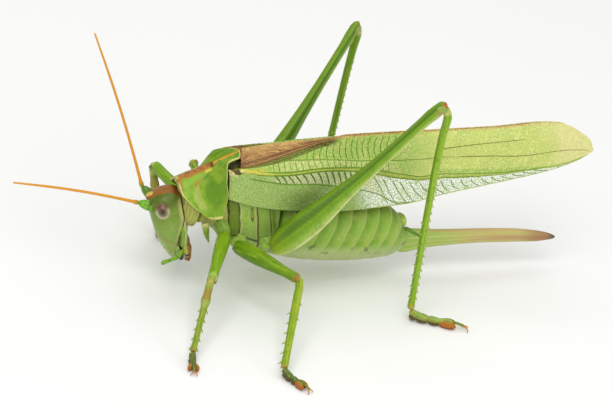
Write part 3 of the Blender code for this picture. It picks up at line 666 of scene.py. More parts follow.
@dataclass(frozen=True)
class FeelerFinish:
    """A feeler of many short joints, orange, with a fine dark ring at each."""

    name: str = "feeler_skin"
    orange: Tint = (232, 160, 44)
    ring: Tint = (196, 118, 30)
    root: Tint = (150, 150, 50)

    def material(self) -> Material:
        """Builds the material."""
        palette = Palette(self.name, self.orange)
        _, share, _ = palette.lie()
        wave = (share * (2 * math.pi / FEELER_JOINT)).sine() * 0.5 + 0.5
        palette.lay(wave.rise(0.8, 0.98) * 0.6, self.ring)
        palette.lay(share.rise(0.05, 0.01), self.root)
        return palette.close(0.4, palette.bump(wave, 0.03))


@dataclass(frozen=True)
class EyeFinish:
    """An eye: a fine pattern of facets, olive-brown, with a soft dark middle, a pale rim and painted reddish
    shade on top.
    """

    name: str = "eye_skin"
    middle: Tint = (44, 30, 16)
    olive: Tint = (138, 124, 88)
    rim: Tint = (206, 200, 160)
    top_shade: Tint = (104, 50, 38)

    def material(self) -> Material:
        """Builds the material."""
        palette = Palette(self.name, self.middle)
        _, fore, up = palette.lie()
        spread = palette.math("SQRT", (fore * fore) + (up - 0.22) * (up - 0.22))
        palette.lay(spread.rise(0.02, 0.72), self.olive)
        palette.lay(spread.rise(0.45, 1.05) * up.rise(0.75, 0.1), self.rim)
        # Painted shade: the top of the eye darkens to reddish brown.
        palette.lay(up.rise(0.15, 0.8) * spread.rise(0.15, 0.5) * 0.75, self.top_shade)
        palette.lay(palette.noise(0.5, 3.0).rise(0.5, 0.75) * 0.2, self.middle)
        facets = palette.cells(0.06, palette.place())
        return palette.close(0.16, palette.bump(facets, 0.015), coat_weight=0.5)


@dataclass(frozen=True)
class HeadFinish:
    """The head capsule, its marks in the head's own frame: left, face and crown in millimetres."""

    name: str = "head_skin"
    cheek: Tint = (118, 146, 52)
    brow: Tint = (86, 106, 28)
    face: Tint = (134, 164, 70)
    crest: Tint = (152, 98, 34)
    rust: Tint = (108, 52, 20)
    cream: Tint = (206, 200, 130)
    suture: Tint = (66, 40, 20)
    seam: Tint = (176, 136, 104)
    lip: Tint = (160, 184, 104)
    plate: Tint = (152, 176, 92)
    nape: Tint = (142, 156, 52)
    streak: Tint = (206, 212, 160)
    hem: Tint = (206, 206, 160)

    def material(self) -> Material:
        """Builds the material."""
        palette = Palette(self.name, self.face)
        left, face, crown = palette.lie()
        side = abs(left)
        wander = (palette.noise(0.9, 3.0) - 0.5) * 0.5
        palette.lay(crown.rise(-3.8, -1.2), self.cheek)
        palette.lay(crown.rise(-0.9, 0.5), self.brow)
        rear = face + 2.84 - (-2.3 - crown).most(0.0) * 0.42
        palette.lay(rear.rise(0.95, 0.45) * crown.rise(0.2, -0.6) * 0.5, self.nape)
        top = (side + wander).rise(1.35, 1.0) * crown.rise(0.55, 1.0)
        palette.lay(top, self.crest)
        palette.lay(top * face.rise(-1.2, -2.1), self.rust)
        margin = rear.rise(0.98, 0.56) * crown.rise(0.9, 0.0)
        palette.lay(margin * 0.75, self.cream)
        palette.lay(rear.rise(0.46, 0.40) * crown.rise(1.1, 0.8), self.suture)
        palette.lay(rear.rise(0.30, 0.24), self.cream)
        groove = crown + 4.55 + (0.75 - face).most(0.0) * 0.8
        palette.lay(groove.rise(0.05, -0.10) * 0.6, self.plate)
        line = 1.35 - face + (crown + 4.1) * 0.45
        below = crown.rise(-3.95, -4.25)
        palette.lay(line.rise(0.05, -0.05) * below, self.lip)
        streaks = palette.noise(0.6, 3.0, palette.vector(left * 3.0, face, crown * 0.6))
        palette.lay(line.rise(0.0, -0.3) * below * streaks.rise(0.5, 0.65) * 0.6, self.streak)
        palette.lay(line.near(0.0, 0.045) * below * 0.7, self.hem)
        palette.lay(groove.near(0.0, 0.10) * line.rise(-0.10, 0.05) * 0.75, self.seam)
        palette.lay((crown + 8.0).rise(0.1, -0.2) * face.rise(-0.2, -0.6), self.suture)
        palette.lay(palette.noise(0.45, 3.0).rise(0.5, 0.76) * 0.35, self.brow)
        palette.lay(palette.noise(0.9, 2.0).rise(0.55, 0.8) * 0.2, self.cream)
        bumps = palette.noise(0.3, 3.0) + line.near(0.0, 0.09) * below * -1.2 + groove.near(0.0, 0.09) * -1.0
        return palette.close(0.34 + palette.noise(0.8) * 0.12, palette.bump(bumps, 0.05))


@dataclass(frozen=True)
class NeckFinish:
    """Soft folded skin between head and saddle, cream to yellow-green."""

    name: str = "neck_skin"
    pale: Tint = (192, 194, 100)
    fold: Tint = (138, 152, 52)
    throat: Tint = (196, 184, 120)

    def material(self) -> Material:
        """Builds the material."""
        palette = Palette(self.name, self.pale)
        _, share, up = palette.lie()
        wave = (share * 60.0 + palette.noise(1.0) * 3.0).sine() * 0.5 + 0.5
        palette.lay(wave.rise(0.3, 0.9) * 0.4, self.fold)
        palette.lay(up.rise(-0.5, -0.9) * 0.6, self.throat)
        return palette.close(0.45, palette.bump(wave, 0.06))


@dataclass(frozen=True)
class SaddleFinish:
    """The pronotum: a brown stripe along the middle, a dark knot, green sides and cream margins.

    The pattern places are the turn from the left lobe to the right one, the share from front to rear,
    and a zero.
    """

    name: str = "pronotum_skin"
    green: Tint = (134, 178, 40)
    deep: Tint = (100, 142, 18)
    stripe: Tint = (176, 112, 30)
    rust: Tint = (128, 66, 22)
    amber: Tint = (206, 148, 40)
    yellow: Tint = (222, 200, 56)
    knot: Tint = (74, 36, 14)
    olive: Tint = (168, 184, 84)
    cream: Tint = (210, 208, 120)
    haze: Tint = (156, 178, 50)
    shade: Tint = (82, 126, 14)
    edge: float = 0.02

    def material(self) -> Material:
        """Builds the material."""
        palette = Palette(self.name, self.green)
        turn, share, _ = palette.lie()
        side = abs(turn)
        wander = (palette.noise(1.0, 3.0) - 0.5) * 0.16
        palette.lay(share.rise(0.36, 0.56), self.deep)
        palette.lay(palette.noise(0.9, 3.0).rise(0.40, 0.66) * 0.5, self.deep)
        palette.lay(side.rise(0.82, 0.95) * 0.6, self.green)
        palette.lay(palette.noise(1.8, 4.0).rise(0.46, 0.62) * 0.5, self.haze)
        palette.lay(palette.noise(1.3, 4.0).rise(0.56, 0.70) * 0.45, self.shade)
        start = (share - 0.50 + side * 0.52 + wander * 0.8).rise(-0.04, 0.04)
        stop = (share - 0.45 + side * 0.09 + wander * 0.5).rise(0.03, -0.03)
        patch = start * stop * side.band(0.30, 0.84, 0.05)
        palette.lay(patch * 0.9, self.olive)
        palette.lay(patch * side.rise(0.52, 0.36) * 0.9, self.stripe)
        width = side + wander
        palette.lay(width.rise(0.15, 0.07) * share.rise(0.60, 0.54), self.stripe)
        palette.lay(share.rise(0.09, 0.03) * side.rise(0.5, 0.2) * 0.8, self.stripe)
        streaks = palette.noise(0.5, 3.0)
        reddish = width.rise(0.11, 0.05) * share.rise(0.60, 0.54) * streaks.rise(0.42, 0.62)
        palette.lay(reddish * 0.75, self.rust)
        palette.lay(width.rise(0.045, 0.03) * share.rise(0.5, 0.6), self.amber)
        spot = (turn + 0.16).near(0.0, 0.035) * (share - 0.49).near(0.0, 0.05)
        palette.lay(spot * 0.85, self.yellow)
        knot = share.near(0.555, 0.022) * (side + wander * 0.5).rise(0.13, 0.06)
        palette.lay(knot * 0.9, self.knot)
        edges = side.rise(1 - 2 * self.edge, 1 - self.edge).most(share.rise(0.984, 0.992))
        edges = edges.most(share.rise(0.028, 0.014) * side.rise(0.10, 0.2))
        palette.lay(edges, self.cream)
        palette.lay(edges * palette.noise(0.4).rise(0.5, 0.7) * 0.5, self.olive)
        palette.lay(palette.noise(0.35, 3.0).rise(0.52, 0.75) * 0.3, self.deep)
        height = palette.noise(0.28, 3.0) + palette.noise(1.1) * 1.5
        return palette.close(0.38, palette.bump(height, 0.06))


# The plates of the thorax's side lean back: their shift, their lean, and from where and how fast it grows.
PLATE_SHIFT = 0.3
PLATE_LEAN = 1.18
PLATE_BEND = 6.9
PLATE_FAN = 0.2


@dataclass(frozen=True)
class TrunkFinish:
    """Plates of the thorax's side, by places along the body and up its side, with painted shade beneath the
    pronotum and wing.
    """

    name: str = "body_skin"
    light: Tint = (150, 182, 78)
    dark: Tint = (104, 128, 30)
    suture: Tint = (66, 48, 22)
    cream: Tint = (196, 200, 128)
    front: Tint = (170, 176, 84)
    rear: Tint = (124, 152, 50)
    hollow_shade: Tint = (86, 58, 30)
    # Painted shadow: the brown laid over the top of the side, under the wing and the pronotum.
    upper: Tint = (84, 46, 26)
    slit: Tint = (200, 192, 84)

    def material(self) -> Material:
        """Builds the material."""
        palette = Palette(self.name, self.light)
        _, x, up = palette.lie()
        wander = (palette.noise(1.2, 3.0) - 0.5) * 0.4
        slant = x - PLATE_SHIFT + up * PLATE_LEAN + (x - PLATE_BEND).most(0.0) * up * PLATE_FAN + wander
        palette.lay(slant.band(5.4, 6.85, 0.12), self.dark)
        palette.lay(slant.rise(5.5, 5.2), self.front)
        palette.lay(slant.band(9.3, 11.2, 0.3) * 0.5, self.rear)
        # Painted shadow: a band of the plates' dark tone just before the hind hip.
        palette.lay(slant.band(11.8, 12.7, 0.25) * 0.8, self.dark)
        palette.lay(slant.band(6.95, 7.15, 0.06).most(slant.near(9.25, 0.12)) * 0.8, self.cream)
        lines = slant.near(5.42, 0.07).most(slant.near(6.9, 0.07)).most(slant.near(9.45, 0.07))
        lines = lines.most(slant.near(11.6, 0.08)).most(up.near(0.36, 0.025) * slant.band(5.4, 9.0, 0.1))
        lines = lines.most(up.near(-0.66, 0.03) * slant.band(5.4, 11.0, 0.1))
        palette.lay(lines * (palette.noise(1.0).rise(0.3, 0.6) * 0.6 + 0.35), self.suture)
        # Painted shade in the hollow under the front of the pronotum.
        palette.lay(slant.rise(5.75, 5.45) * up.rise(0.0, 0.25), self.hollow_shade)
        # Painted shadow darkens the top of the side, where the wing and the pronotum overhang it.
        palette.lay(up.rise(0.62, 0.8) * (palette.noise(0.8, 3.0).rise(0.3, 0.6) * 0.5 + 0.5), self.upper)
        slit = slant.near(8.6, 0.20) * up.band(-0.18, 0.14, 0.05)
        palette.lay(slit, self.suture)
        palette.lay(slant.near(8.6, 0.09) * up.band(-0.11, 0.10, 0.04) * 0.8, self.slit)
        palette.lay(palette.noise(0.5, 3.0).rise(0.5, 0.75) * 0.35, self.dark)
        palette.lay(palette.noise(0.35, 3.0).rise(0.56, 0.75) * 0.25, self.cream)
        height = palette.noise(0.3, 3.0) - lines * 1.5
        return palette.close(0.38, palette.bump(height, 0.08))


@dataclass(frozen=True)
class AbdomenFinish:
    """Segments of the abdomen: green plates with a pale rear edge, cream lines and a whitish belly."""

    name: str = "abdomen_skin"
    green: Tint = (146, 184, 66)
    deep: Tint = (118, 160, 40)
    pale: Tint = (206, 188, 132)
    belly: Tint = (176, 190, 126)
    spot: Tint = (70, 60, 24)
    haze: Tint = (176, 190, 92)

    def material(self) -> Material:
        """Builds the material."""
        palette = Palette(self.name, self.deep)
        _, x, up = palette.lie()
        shift = x - up * SEGMENT_LEAN + (palette.noise(1.6, 3.0) - 0.5) * 0.5
        rate = SEGMENT_COUNT / (SEGMENTS_END - SEGMENTS_START)
        phase = palette.math("FRACT", (shift - SEGMENTS_START) * rate)
        palette.lay(phase.rise(0.1, 0.7), self.green)
        palette.lay(phase.band(0.85, 0.97, 0.05) * 0.32, self.pale)
        palette.lay(phase.rise(0.06, 0.0) * 0.6, self.deep)
        palette.lay(palette.noise(2.2, 2.0).rise(0.45, 0.65) * 0.35, self.haze)
        palette.lay(up.rise(-0.05, -0.48) * 0.9, self.belly)
        marks = palette.noise(0.8, 2.0).rise(0.58, 0.68) * up.band(-0.52, -0.12, 0.08)
        palette.lay(marks * 0.55, self.spot)
        palette.lay(palette.noise(0.5, 3.0).rise(0.5, 0.78) * 0.3, self.pale)
        return palette.close(0.42, palette.bump(palette.noise(0.35, 3.0), 0.05))


@dataclass(frozen=True)
class BladeFinish:
    """The egg-laying blade: green root, olive-yellow length, brown upper edge and dark tip."""

    name: str = "ovipositor_skin"
    root: Tint = (160, 190, 84)
    length: Tint = (190, 180, 104)
    streak: Tint = (186, 142, 104)
    edge: Tint = (202, 168, 116)
    tip: Tint = (84, 70, 64)
    brown: Tint = (150, 102, 70)
    line: Tint = (210, 210, 136)

    def material(self) -> Material:
        """Builds the material."""
        palette = Palette(self.name, self.root)
        _, share, up = palette.lie()
        palette.lay(share.rise(0.18, 0.5), self.length)
        palette.lay(up.band(-0.4, 0.25, 0.2) * share.rise(0.35, 0.7) * 0.8, self.streak)
        palette.lay(up.rise(0.72, 0.92) * share.rise(0.05, 0.3) * 0.7, self.edge)
        palette.lay(up.rise(-0.8, -0.95) * share.rise(0.3, 0.6) * 0.6, self.streak)
        palette.lay(share.rise(0.72, 0.92) * 0.75, self.brown)
        palette.lay(share.rise(0.92, 1.0), self.tip)
        lines = up.near(0.42, 0.05).most(up.near(-0.08, 0.04)).most(up.near(-0.55, 0.04))
        palette.lay(lines * share.rise(0.7, 0.3) * 0.6, self.line)
        run = palette.vector(share * 6.0, up * 3.0)
        streaks = palette.noise(1.0, 3.0, run)
        palette.lay(streaks.rise(0.5, 0.75) * 0.3, self.streak)
        return palette.close(0.3, palette.bump(streaks, 0.03))


@dataclass(frozen=True)
class ForewingFinish:
    """A forewing's membrane: a fine net of pale cells, a brown back and a clear lower window.

    The pattern places are the share from root to tip, the row from the lower to the inner edge, and the
    zone: whole numbers are the lower edge, the vein below the radius, both sides of the radius, the vein
    above it, the brown back's border and the inner edge. "net" holds millimetres along and round the wing.
    """

    name: str = "forewing_skin"
    cell: Tint = (198, 214, 104)
    field: Tint = (178, 202, 98)
    costal: Tint = (154, 184, 88)
    shadow: Tint = (98, 124, 34)
    tan: Tint = (214, 176, 104)
    rust: Tint = (150, 92, 44)
    spot: Tint = (90, 44, 16)
    olive: Tint = (84, 80, 28)
    window: Tint = (255, 255, 250)
    cream: Tint = (232, 226, 152)
    radius: Tint = (200, 210, 100)
    root: Tint = (210, 202, 88)
    vein: Tint = (106, 156, 44)
    haze: Tint = (214, 206, 130)
    below_radius: Tint = (234, 228, 184)
    above_radius: Tint = (214, 220, 140)
    leaf: Tint = (138, 184, 62)
    hinge: Tint = (206, 194, 124)
    hinge_spot: Tint = (110, 70, 34)
    olive_net: Tint = (140, 128, 52)
    olive_line: Tint = (176, 176, 70)
    straw: Tint = (206, 176, 96)
    grain_dark: Tint = (120, 70, 36)
    grain_pale: Tint = (226, 190, 124)
    border: Tint = (96, 66, 30)
    window_net: Tint = (150, 192, 40)
    back_net: Tint = (150, 104, 50)
    outer_net: Tint = (234, 232, 156)
    fleck: Tint = (204, 216, 150)

    def material(self) -> Material:
        """Builds the material."""
        palette = Palette(self.name, self.field)
        share, row, zone = palette.lie()
        x, around, _ = palette.lie("net")
        wander = palette.noise(2.5, 3.0) - 0.5
        slanting = palette.vector((x - around) * 0.75, (x + around) * 1.25)
        lines = palette.cells(0.56, slanting).rise(0.10, 0.04)
        fine = palette.cells(0.36, palette.vector(x * 0.9, around)).rise(0.13, 0.05)
        grain = palette.noise(1.0, 4.0, palette.vector(x * 0.8, around * 3.0))
        outer = share.rise(0.46, 0.56)
        palette.lay(outer, self.cell)
        palette.lay(palette.noise(3.0, 3.0).rise(0.45, 0.6) * 0.45, self.field)
        palette.lay(palette.noise(1.6, 3.0).rise(0.5, 0.62) * (1.0 - outer) * 0.4, self.haze)
        under = zone.rise(2.02, 1.98)
        palette.lay(under, self.costal)
        dark = share.near(0.185, 0.055, 0.8) * row.near(0.10, 0.09, 0.9)
        palette.lay(dark * 0.8, self.shadow)
        clear = under * (share + zone * 0.02).rise(0.33, 0.40)
        palette.lay(clear, self.window)
        palette.lay(zone.band(1.05, 1.95, 0.05) * share.band(0.10, 0.40, 0.03) * 0.7, self.below_radius)
        palette.lay(zone.band(3.1, 3.95, 0.05) * share.band(0.10, 0.44, 0.03) * 0.7, self.above_radius)
        palette.lay(zone.band(2.0, 3.0, 0.05) * share.rise(0.60, 0.52), self.radius)
        palette.lay(zone.band(3.0, 3.34, 0.06) * share.band(0.55, 0.9, 0.03) * 0.7, self.leaf)
        palette.lay(zone.band(1.9, 3.7, 0.2) * share.rise(0.09, 0.05), self.root)
        hinge = (share + wander * 0.01).rise(0.018, 0.008)
        palette.lay(hinge * zone.rise(0.8, 1.3), self.hinge)
        palette.lay(hinge * palette.noise(0.5).rise(0.55, 0.62) * zone.rise(1.6, 2.4), self.hinge_spot)
        strip = share + 0.70 - row
        olive = strip.band(-0.008, 0.07, 0.01) * share.rise(0.30, 0.24)
        palette.lay(olive, palette.mix(lines * 0.5, self.olive, self.olive_net))
        palette.lay(strip.near(0.02, 0.004).most(strip.near(0.05, 0.004)) * olive * 0.7, self.olive_line)
        back = zone.rise(4.97, 5.03)
        palette.lay(back, palette.mix(share.rise(0.28, 0.42), self.tan, self.straw))
        warm = back * (zone + wander).rise(6.0, 5.2) * share.rise(0.27, 0.18)
        palette.lay(warm * grain.rise(0.30, 0.52), self.rust)
        palette.lay(back * grain.rise(0.54, 0.68) * (0.55 - outer * 0.4), self.grain_dark)
        palette.lay(back * grain.rise(0.42, 0.30) * 0.5, self.grain_pale)
        blotch = share.near(0.232, 0.042, 0.6) * (row + wander * 0.1).near(0.93, 0.055, 0.5)
        palette.lay(zone.band(5.0, 5.4, 0.1) * share.rise(0.24, 0.16) * 0.6, self.border)
        palette.lay(blotch, self.spot)
        pale_end = (share * 1.2 + row * 0.12 + wander * 0.12).rise(1.08, 1.20)
        palette.lay(pale_end * 0.85, self.cream)
        palette.lay(palette.noise(1.2, 3.0).rise(0.56, 0.74) * outer * 0.35, self.cream)
        web = palette.mix(clear, self.vein, self.window_net)
        web = palette.mix(back, web, self.back_net)
        palette.lay(lines * (1.0 - outer).most(clear) * (clear * 0.3 + 0.55), web)
        palette.lay(fine * outer * (1.0 - clear) * 0.5, self.outer_net)
        flecks = palette.cells(0.27, palette.vector(x * 0.9, around)).rise(0.13, 0.05)
        palette.lay(flecks * under * (1.0 - outer) * (1.0 - clear) * 0.42, self.fleck)
        height = lines.most(fine * outer) + palette.noise(0.4) * 0.2
        return palette.close(0.42, palette.bump(height, 0.035))


@dataclass(frozen=True)
class HindwingFinish:
    """A folded hind wing: pale green, clear and netted."""

    name: str = "hindwing_skin"
    cell: Tint = (206, 216, 150)
    vein: Tint = (120, 150, 60)

    def material(self) -> Material:
        """Builds the material."""
        palette = Palette(self.name, self.cell)
        share, row, _ = palette.lie()
        net = palette.cells(0.8, palette.vector(share * 47, row * 5.0))
        lines = net.rise(0.14, 0.05)
        pleats = (row * 50.0).sine() * 0.5 + 0.5
        palette.lay(lines * 0.7, self.vein)
        palette.lay(pleats.rise(0.7, 1.0) * 0.4, self.vein)
        return palette.close(0.4, palette.bump(lines + pleats, 0.06))


@dataclass
class SubAssembly:
    """Pieces that are built, dressed and handed to the frame together.

    Attributes:
        finishes: materials already made, by their finish's name.
        made: each piece with its finish, material slot and the CAD nodes that it stands for.
    """

    finishes: dict[str, Material]
    made: list[tuple] = field(default_factory=list, init=False)

    def keep(self, obj: Piece, finish: Any, slot: str, *nodes: str) -> Piece:
        """Notes a piece with what it will wear and stand for."""
        self.made.append((obj, finish, slot, nodes))
        return obj

    def build(self) -> None:
        """Makes the meshes."""
        raise NotImplementedError

    def dress(self) -> None:
        """Gives each piece its material and hands it to the frame."""
        for obj, finish, slot, nodes in self.made:
            if finish.name not in self.finishes:
                self.finishes[finish.name] = finish.material()
            obj.data.materials.clear()
            obj.data.materials.append(self.finishes[finish.name])
            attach(obj, "root")
            if nodes:
                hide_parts(*nodes)
            LOG.info("%s: %d faces", obj.name, len(obj.data.polygons))


HEAD_PLACE = np.array((-1.77, 0.90, 12.10))
HEAD_YAW = math.radians(25)
HEAD_NOD = math.radians(20)


def head_axes() -> np.ndarray:
    """The head's left, face and crown directions, as rows."""
    forward = np.array((-math.cos(HEAD_YAW), math.sin(HEAD_YAW), 0.0))
    left = np.array((-math.sin(HEAD_YAW), -math.cos(HEAD_YAW), 0.0))
    face = forward * math.cos(HEAD_NOD) - np.array(UP) * math.sin(HEAD_NOD)
    crown = forward * math.sin(HEAD_NOD) + np.array(UP) * math.cos(HEAD_NOD)
    return np.array([left, face, crown])


def on_head(place: Sequence[float]) -> np.ndarray:
    """Turns places given to the left, the face and the crown into places of the animal."""
    return HEAD_PLACE + np.array(place, float) @ head_axes()


@dataclass
class Head(SubAssembly):
    """The capsule with its eyes and brow knob.

    Attributes:
        levels: height in the head's frame, then front, rear and half width there.
        eye_place: middle of the left eye.
        eye_radii: its radii across, fore and up.
        power: over 2 makes the capsule's section squarer.
    """

    levels: Keys = (
        (1.62, -0.30, -1.00, 0.00),
        (1.52, 0.35, -1.60, 0.95),
        (1.38, 0.75, -1.95, 1.35),
        (1.00, 1.60, -2.35, 1.85),
        (0.30, 1.92, -2.62, 2.25),
        (-0.50, 1.96, -2.74, 2.42),
        (-1.40, 1.90, -2.84, 2.48),
        (-2.30, 1.84, -2.80, 2.46),
        (-3.20, 1.76, -2.50, 2.38),
        (-4.00, 1.66, -2.10, 2.22),
        (-4.70, 1.55, -1.75, 2.02),
        (-5.40, 1.40, -1.42, 1.80),
        (-6.20, 1.16, -1.20, 1.54),
        (-7.00, 0.86, -1.10, 1.24),
        (-7.80, 0.50, -1.05, 0.88),
        (-8.30, 0.20, -0.95, 0.52),
        (-8.45, -0.30, -0.50, 0.00),
    )
    eye_place: tuple[float, float, float] = (2.05, -0.06, -0.56)
    eye_radii: tuple[float, float, float] = (0.86, 0.98, 1.12)
    power: float = 2.3

    def surface(self, turn: np.ndarray, run: np.ndarray) -> TwoArrays:
        """Points of the capsule and their places in the head's frame."""
        levels = [(-row[0], row[1:]) for row in self.levels]
        top, bottom = self.levels[0][0], self.levels[-1][0]
        fold = 0.5 - 0.5 * np.cos(math.pi * run)
        crown = top + (bottom - top) * (0.35 * run + 0.65 * fold)
        front, rear, half = along(levels, -crown).T
        ends = np.minimum(1, np.sqrt(np.clip(np.minimum(run, 1 - run) * 12, 0, 1)))
        angle = 2 * math.pi * turn
        x = squarer(np.cos(angle), self.power)
        y = squarer(np.sin(angle), self.power)
        swell = self.relief(np.cos(angle), np.sin(angle), crown) * ends
        closed = np.where((run < 1e-6) | (run > 1 - 1e-6), 0.0, 1.0)
        left = (half + swell) * x * closed
        face = (front + rear) / 2 + ((front - rear) / 2 + swell) * y * closed
        lie = np.stack([left, face, crown], axis=1)
        return on_head(lie), lie

    @staticmethod
    def relief(across: np.ndarray, fore: np.ndarray, crown: np.ndarray) -> np.ndarray:
        """Grooves and swellings of the capsule, in millimetres."""
        side = np.abs(across)
        seam = bell(crown, -4.1, 0.12) * (fore > 0.45)
        cheek = bell(side, 0.85, 0.3) * bell(crown, -2.6, 1.0)
        ridge = bell(side, 0.42, 0.10) * (fore > 0) * bell(crown, -2.4, 1.6)
        return 0.06 * cheek - 0.10 * seam - 0.07 * ridge

    def build(self) -> None:
        """Makes the capsule, the eyes with their rims, and the knob between the feelers."""
        shell = Bench.formed("head_capsule", 72, 90, self.surface)
        self.keep(shell, HeadFinish(), "head_skin", "head")
        axes = head_axes()
        for side in Side:
            across, face, crown = self.eye_place
            centre = on_head((across * side.value, face, crown))
            turned = axes * np.array((side.value, 1, 1))[:, None]
            eye = ball(f"eye_ball_{side.word}", centre, turned, self.eye_radii, 32, 40)
            self.keep(eye, EyeFinish(), "eye", f"eye_{side.word}")
            rim = self.rim(side)
            self.keep(rim, RIM_FINISH, "head_skin")
        knob = Tube(
            straight([on_head(place) for place in ((0.1, 0.55, 0.80), (0.1, 1.40, 0.85), (0.1, 2.05, 0.60))]),
            ((0, 0.66, 0.34), (0.5, 0.68, 0.50), (1, 0.40, 0.36)), axes[0], axes[2], ends=(0.1, 0.25),
        ).build("brow_knob", 16, 20)
        self.keep(knob, KNOB_FINISH, "head_skin")

    def rim(self, side: Side) -> Piece:
        """A raised ring of skin round an eye."""
        across, face, crown = self.eye_place
        ring = []
        for angle in np.linspace(0, 2 * math.pi, 33):
            ring.append(on_head((
                (across - 0.10) * side.value,
                face + 0.94 * math.cos(angle),
                crown + 1.10 * math.sin(angle),
            )))
        circle = [(i / 32, tuple(point)) for i, point in enumerate(ring)]

        def surface(turn: np.ndarray, run: np.ndarray) -> TwoArrays:
            """A ring-shaped tube."""
            centre = along(circle, run)
            middle = on_head(((across - 0.10) * side.value, face, crown))
            out = unit(centre - middle)
            away = head_axes()[0] * side.value
            angle = 2 * math.pi * turn
            points = centre + out * (0.13 * np.cos(angle))[:, None] + away * (0.22 * np.sin(angle))[:, None]
            return points, np.stack([np.cos(angle), run, np.sin(angle)], axis=1)

        return Bench.formed(f"eye_rim_{side.word}", 10, 48, surface)


RIM_FINISH = LimbFinish("eye_rim_skin", (98, 112, 40), (120, 120, 56), (150, 140, 84), roughness=0.35)
# The knob's cream top is a painted highlight over its orange-brown sides and olive base.
KNOB_FINISH = LimbFinish(
    "knob_skin", (222, 190, 96), (170, 112, 44), (104, 110, 36), (Ring(-0.1, 0.3, 0.1, (150, 92, 34)),),
    roughness=0.28
)
SOCKET_FINISH = LimbFinish("feeler_socket_skin", (64, 84, 24), (110, 158, 46), (116, 160, 50), roughness=0.35)
SCAPE_FINISHES = {
    Side.LEFT: LimbFinish(
        "scape_skin_left", (124, 184, 48), (112, 172, 40), (84, 136, 30),
        (Ring(-0.1, 0.36, 0.08, (70, 104, 30)),), roughness=0.3,
    ),
    # Painted shade: the right first joint wears the left one's greens darkened throughout.
    Side.RIGHT: LimbFinish("scape_skin_right", (96, 140, 44), (84, 126, 36), (66, 100, 28), roughness=0.3),
}
MAXILLA_FINISH = LimbFinish(
    "maxilla_skin", (196, 194, 76), (190, 186, 70), (150, 120, 50),
    (Ring(0.52, 0.66, 0.03, (40, 32, 20)), Ring(0.74, 1.1, 0.05, (134, 60, 24))), roughness=0.3,
)
LOWER_PALP = LimbFinish(
    "lower_palp_skin", (190, 150, 56), (176, 120, 44), (150, 90, 36), (Ring(0.6, 1.1, 0.1, (140, 60, 24)),),
    roughness=0.3,
)
CHEEK_STRIP = LimbFinish("cheek_strip", (126, 170, 60), (116, 160, 50), (206, 200, 140), roughness=0.36)
LIP_FINISH = LimbFinish("lip_skin", (156, 182, 98), (150, 176, 92), (190, 200, 150), roughness=0.34)
PALP_FINISH = LimbFinish(
    "palp_skin", (128, 178, 44), (118, 170, 38), (110, 160, 36),
    (
        Ring(0.30, 0.33, 0.01, (80, 90, 24)), Ring(0.62, 0.65, 0.01, (80, 90, 24)),
        Ring(0.97, 1.0, 0.02, (170, 150, 70)),
    ),
)


@dataclass
class Mouth(SubAssembly):
    """Lip, jaws and palps, placed in the head's frame on the left and mirrored to the right."""

    lip: Keys = (
        (0, 0.66, -6.0, 0.60, 0.26), (0, 0.56, -6.7, 0.72, 0.32), (0, 0.30, -7.4, 0.72, 0.34),
        (0, 0.02, -8.0, 0.60, 0.30), (0, -0.14, -8.4, 0.36, 0.20),
    )
    jaw: Keys = (
        (1.20, -0.95, -6.2, 0.34, 0.36), (1.10, -1.02, -7.0, 0.36, 0.40), (0.88, -1.02, -7.7, 0.34, 0.38),
        (0.62, -1.00, -8.2, 0.28, 0.32), (0.40, -0.90, -8.6, 0.14, 0.20),
    )
    maxilla: Keys = (
        (1.15, -1.75, -5.9, 0.40, 0.38), (1.12, -1.85, -6.6, 0.44, 0.44), (0.95, -1.85, -7.3, 0.42, 0.44),
        (0.72, -1.80, -8.0, 0.32, 0.34), (0.42, -1.50, -8.7, 0.16, 0.18),
    )
    strip: Keys = (
        (0.85, -2.05, -2.4, 0.45, 0.42), (1.20, -2.00, -4.4, 0.50, 0.46), (1.25, -1.60, -6.4, 0.40, 0.38)
    )
    palps: tuple[Keys, Keys] = (
        (
            (1.60, -1.55, -6.6, 0.24, 0.24), (2.05, -0.90, -7.2, 0.27, 0.27), (2.00, 0.10, -7.6, 0.23, 0.23),
            (1.90, 0.95, -7.85, 0.26, 0.26), (1.85, 1.50, -8.05, 0.26, 0.26),
        ),
        (
            (1.60, -1.55, -6.6, 0.24, 0.24), (1.95, -1.10, -7.3, 0.27, 0.27), (1.80, -0.40, -7.8, 0.23, 0.23),
            (1.60, 0.20, -8.10, 0.26, 0.26), (1.50, 0.60, -8.30, 0.26, 0.26),
        ),
    )
    lower_palp: Keys = (
        (0.50, -2.20, -7.0, 0.20, 0.20), (0.66, -2.20, -7.6, 0.22, 0.22), (0.66, -2.05, -8.3, 0.20, 0.20),
        (0.60, -1.75, -8.8, 0.18, 0.18),
    )

    def limb(self, name: str, rows: Keys, side: Side, power: float = 2.0) -> Piece:
        """A mouthpart through rows of left, face, crown, half width and half depth."""
        axes = head_axes()
        line = straight([on_head((row[0] * side.value, row[1], row[2])) for row in rows])
        sizes = [(share, row[3], row[4]) for (share, _), row in zip(line, rows)]
        tube = Tube(line, sizes, axes[0] * side.value, axes[1], power, (0.05, 0.06))
        return tube.build(name, 20, 36)

    def build(self) -> None:
        """Makes every mouthpart."""
        self.keep(self.limb("lip", self.lip, Side.LEFT, 2.6), LIP_FINISH, "mouthpart", "labrum")
        for side in Side:
            for name, rows, power, finish, slot, nodes in (
                ("jaw", self.jaw, 2.4, JawFinish(), "jaw", ("mandible",)),
                ("second_jaw", self.maxilla, 2.0, MAXILLA_FINISH, "mouthpart", ("maxilla",)),
                ("cheek_strip", self.strip, 2.0, CHEEK_STRIP, "mouthpart", ()),
                ("palp", self.palps[side is Side.RIGHT], 2.0, PALP_FINISH, "mouthpart", ("maxillary_palp",)),
                ("lower_palp", self.lower_palp, 2.0, LOWER_PALP, "mouthpart", ("labial_palp",)),
            ):
                piece = self.limb(f"{name}_{side.word}", rows, side, power)
                self.keep(piece, finish, slot, *(f"{node}_{side.word}" for node in nodes))


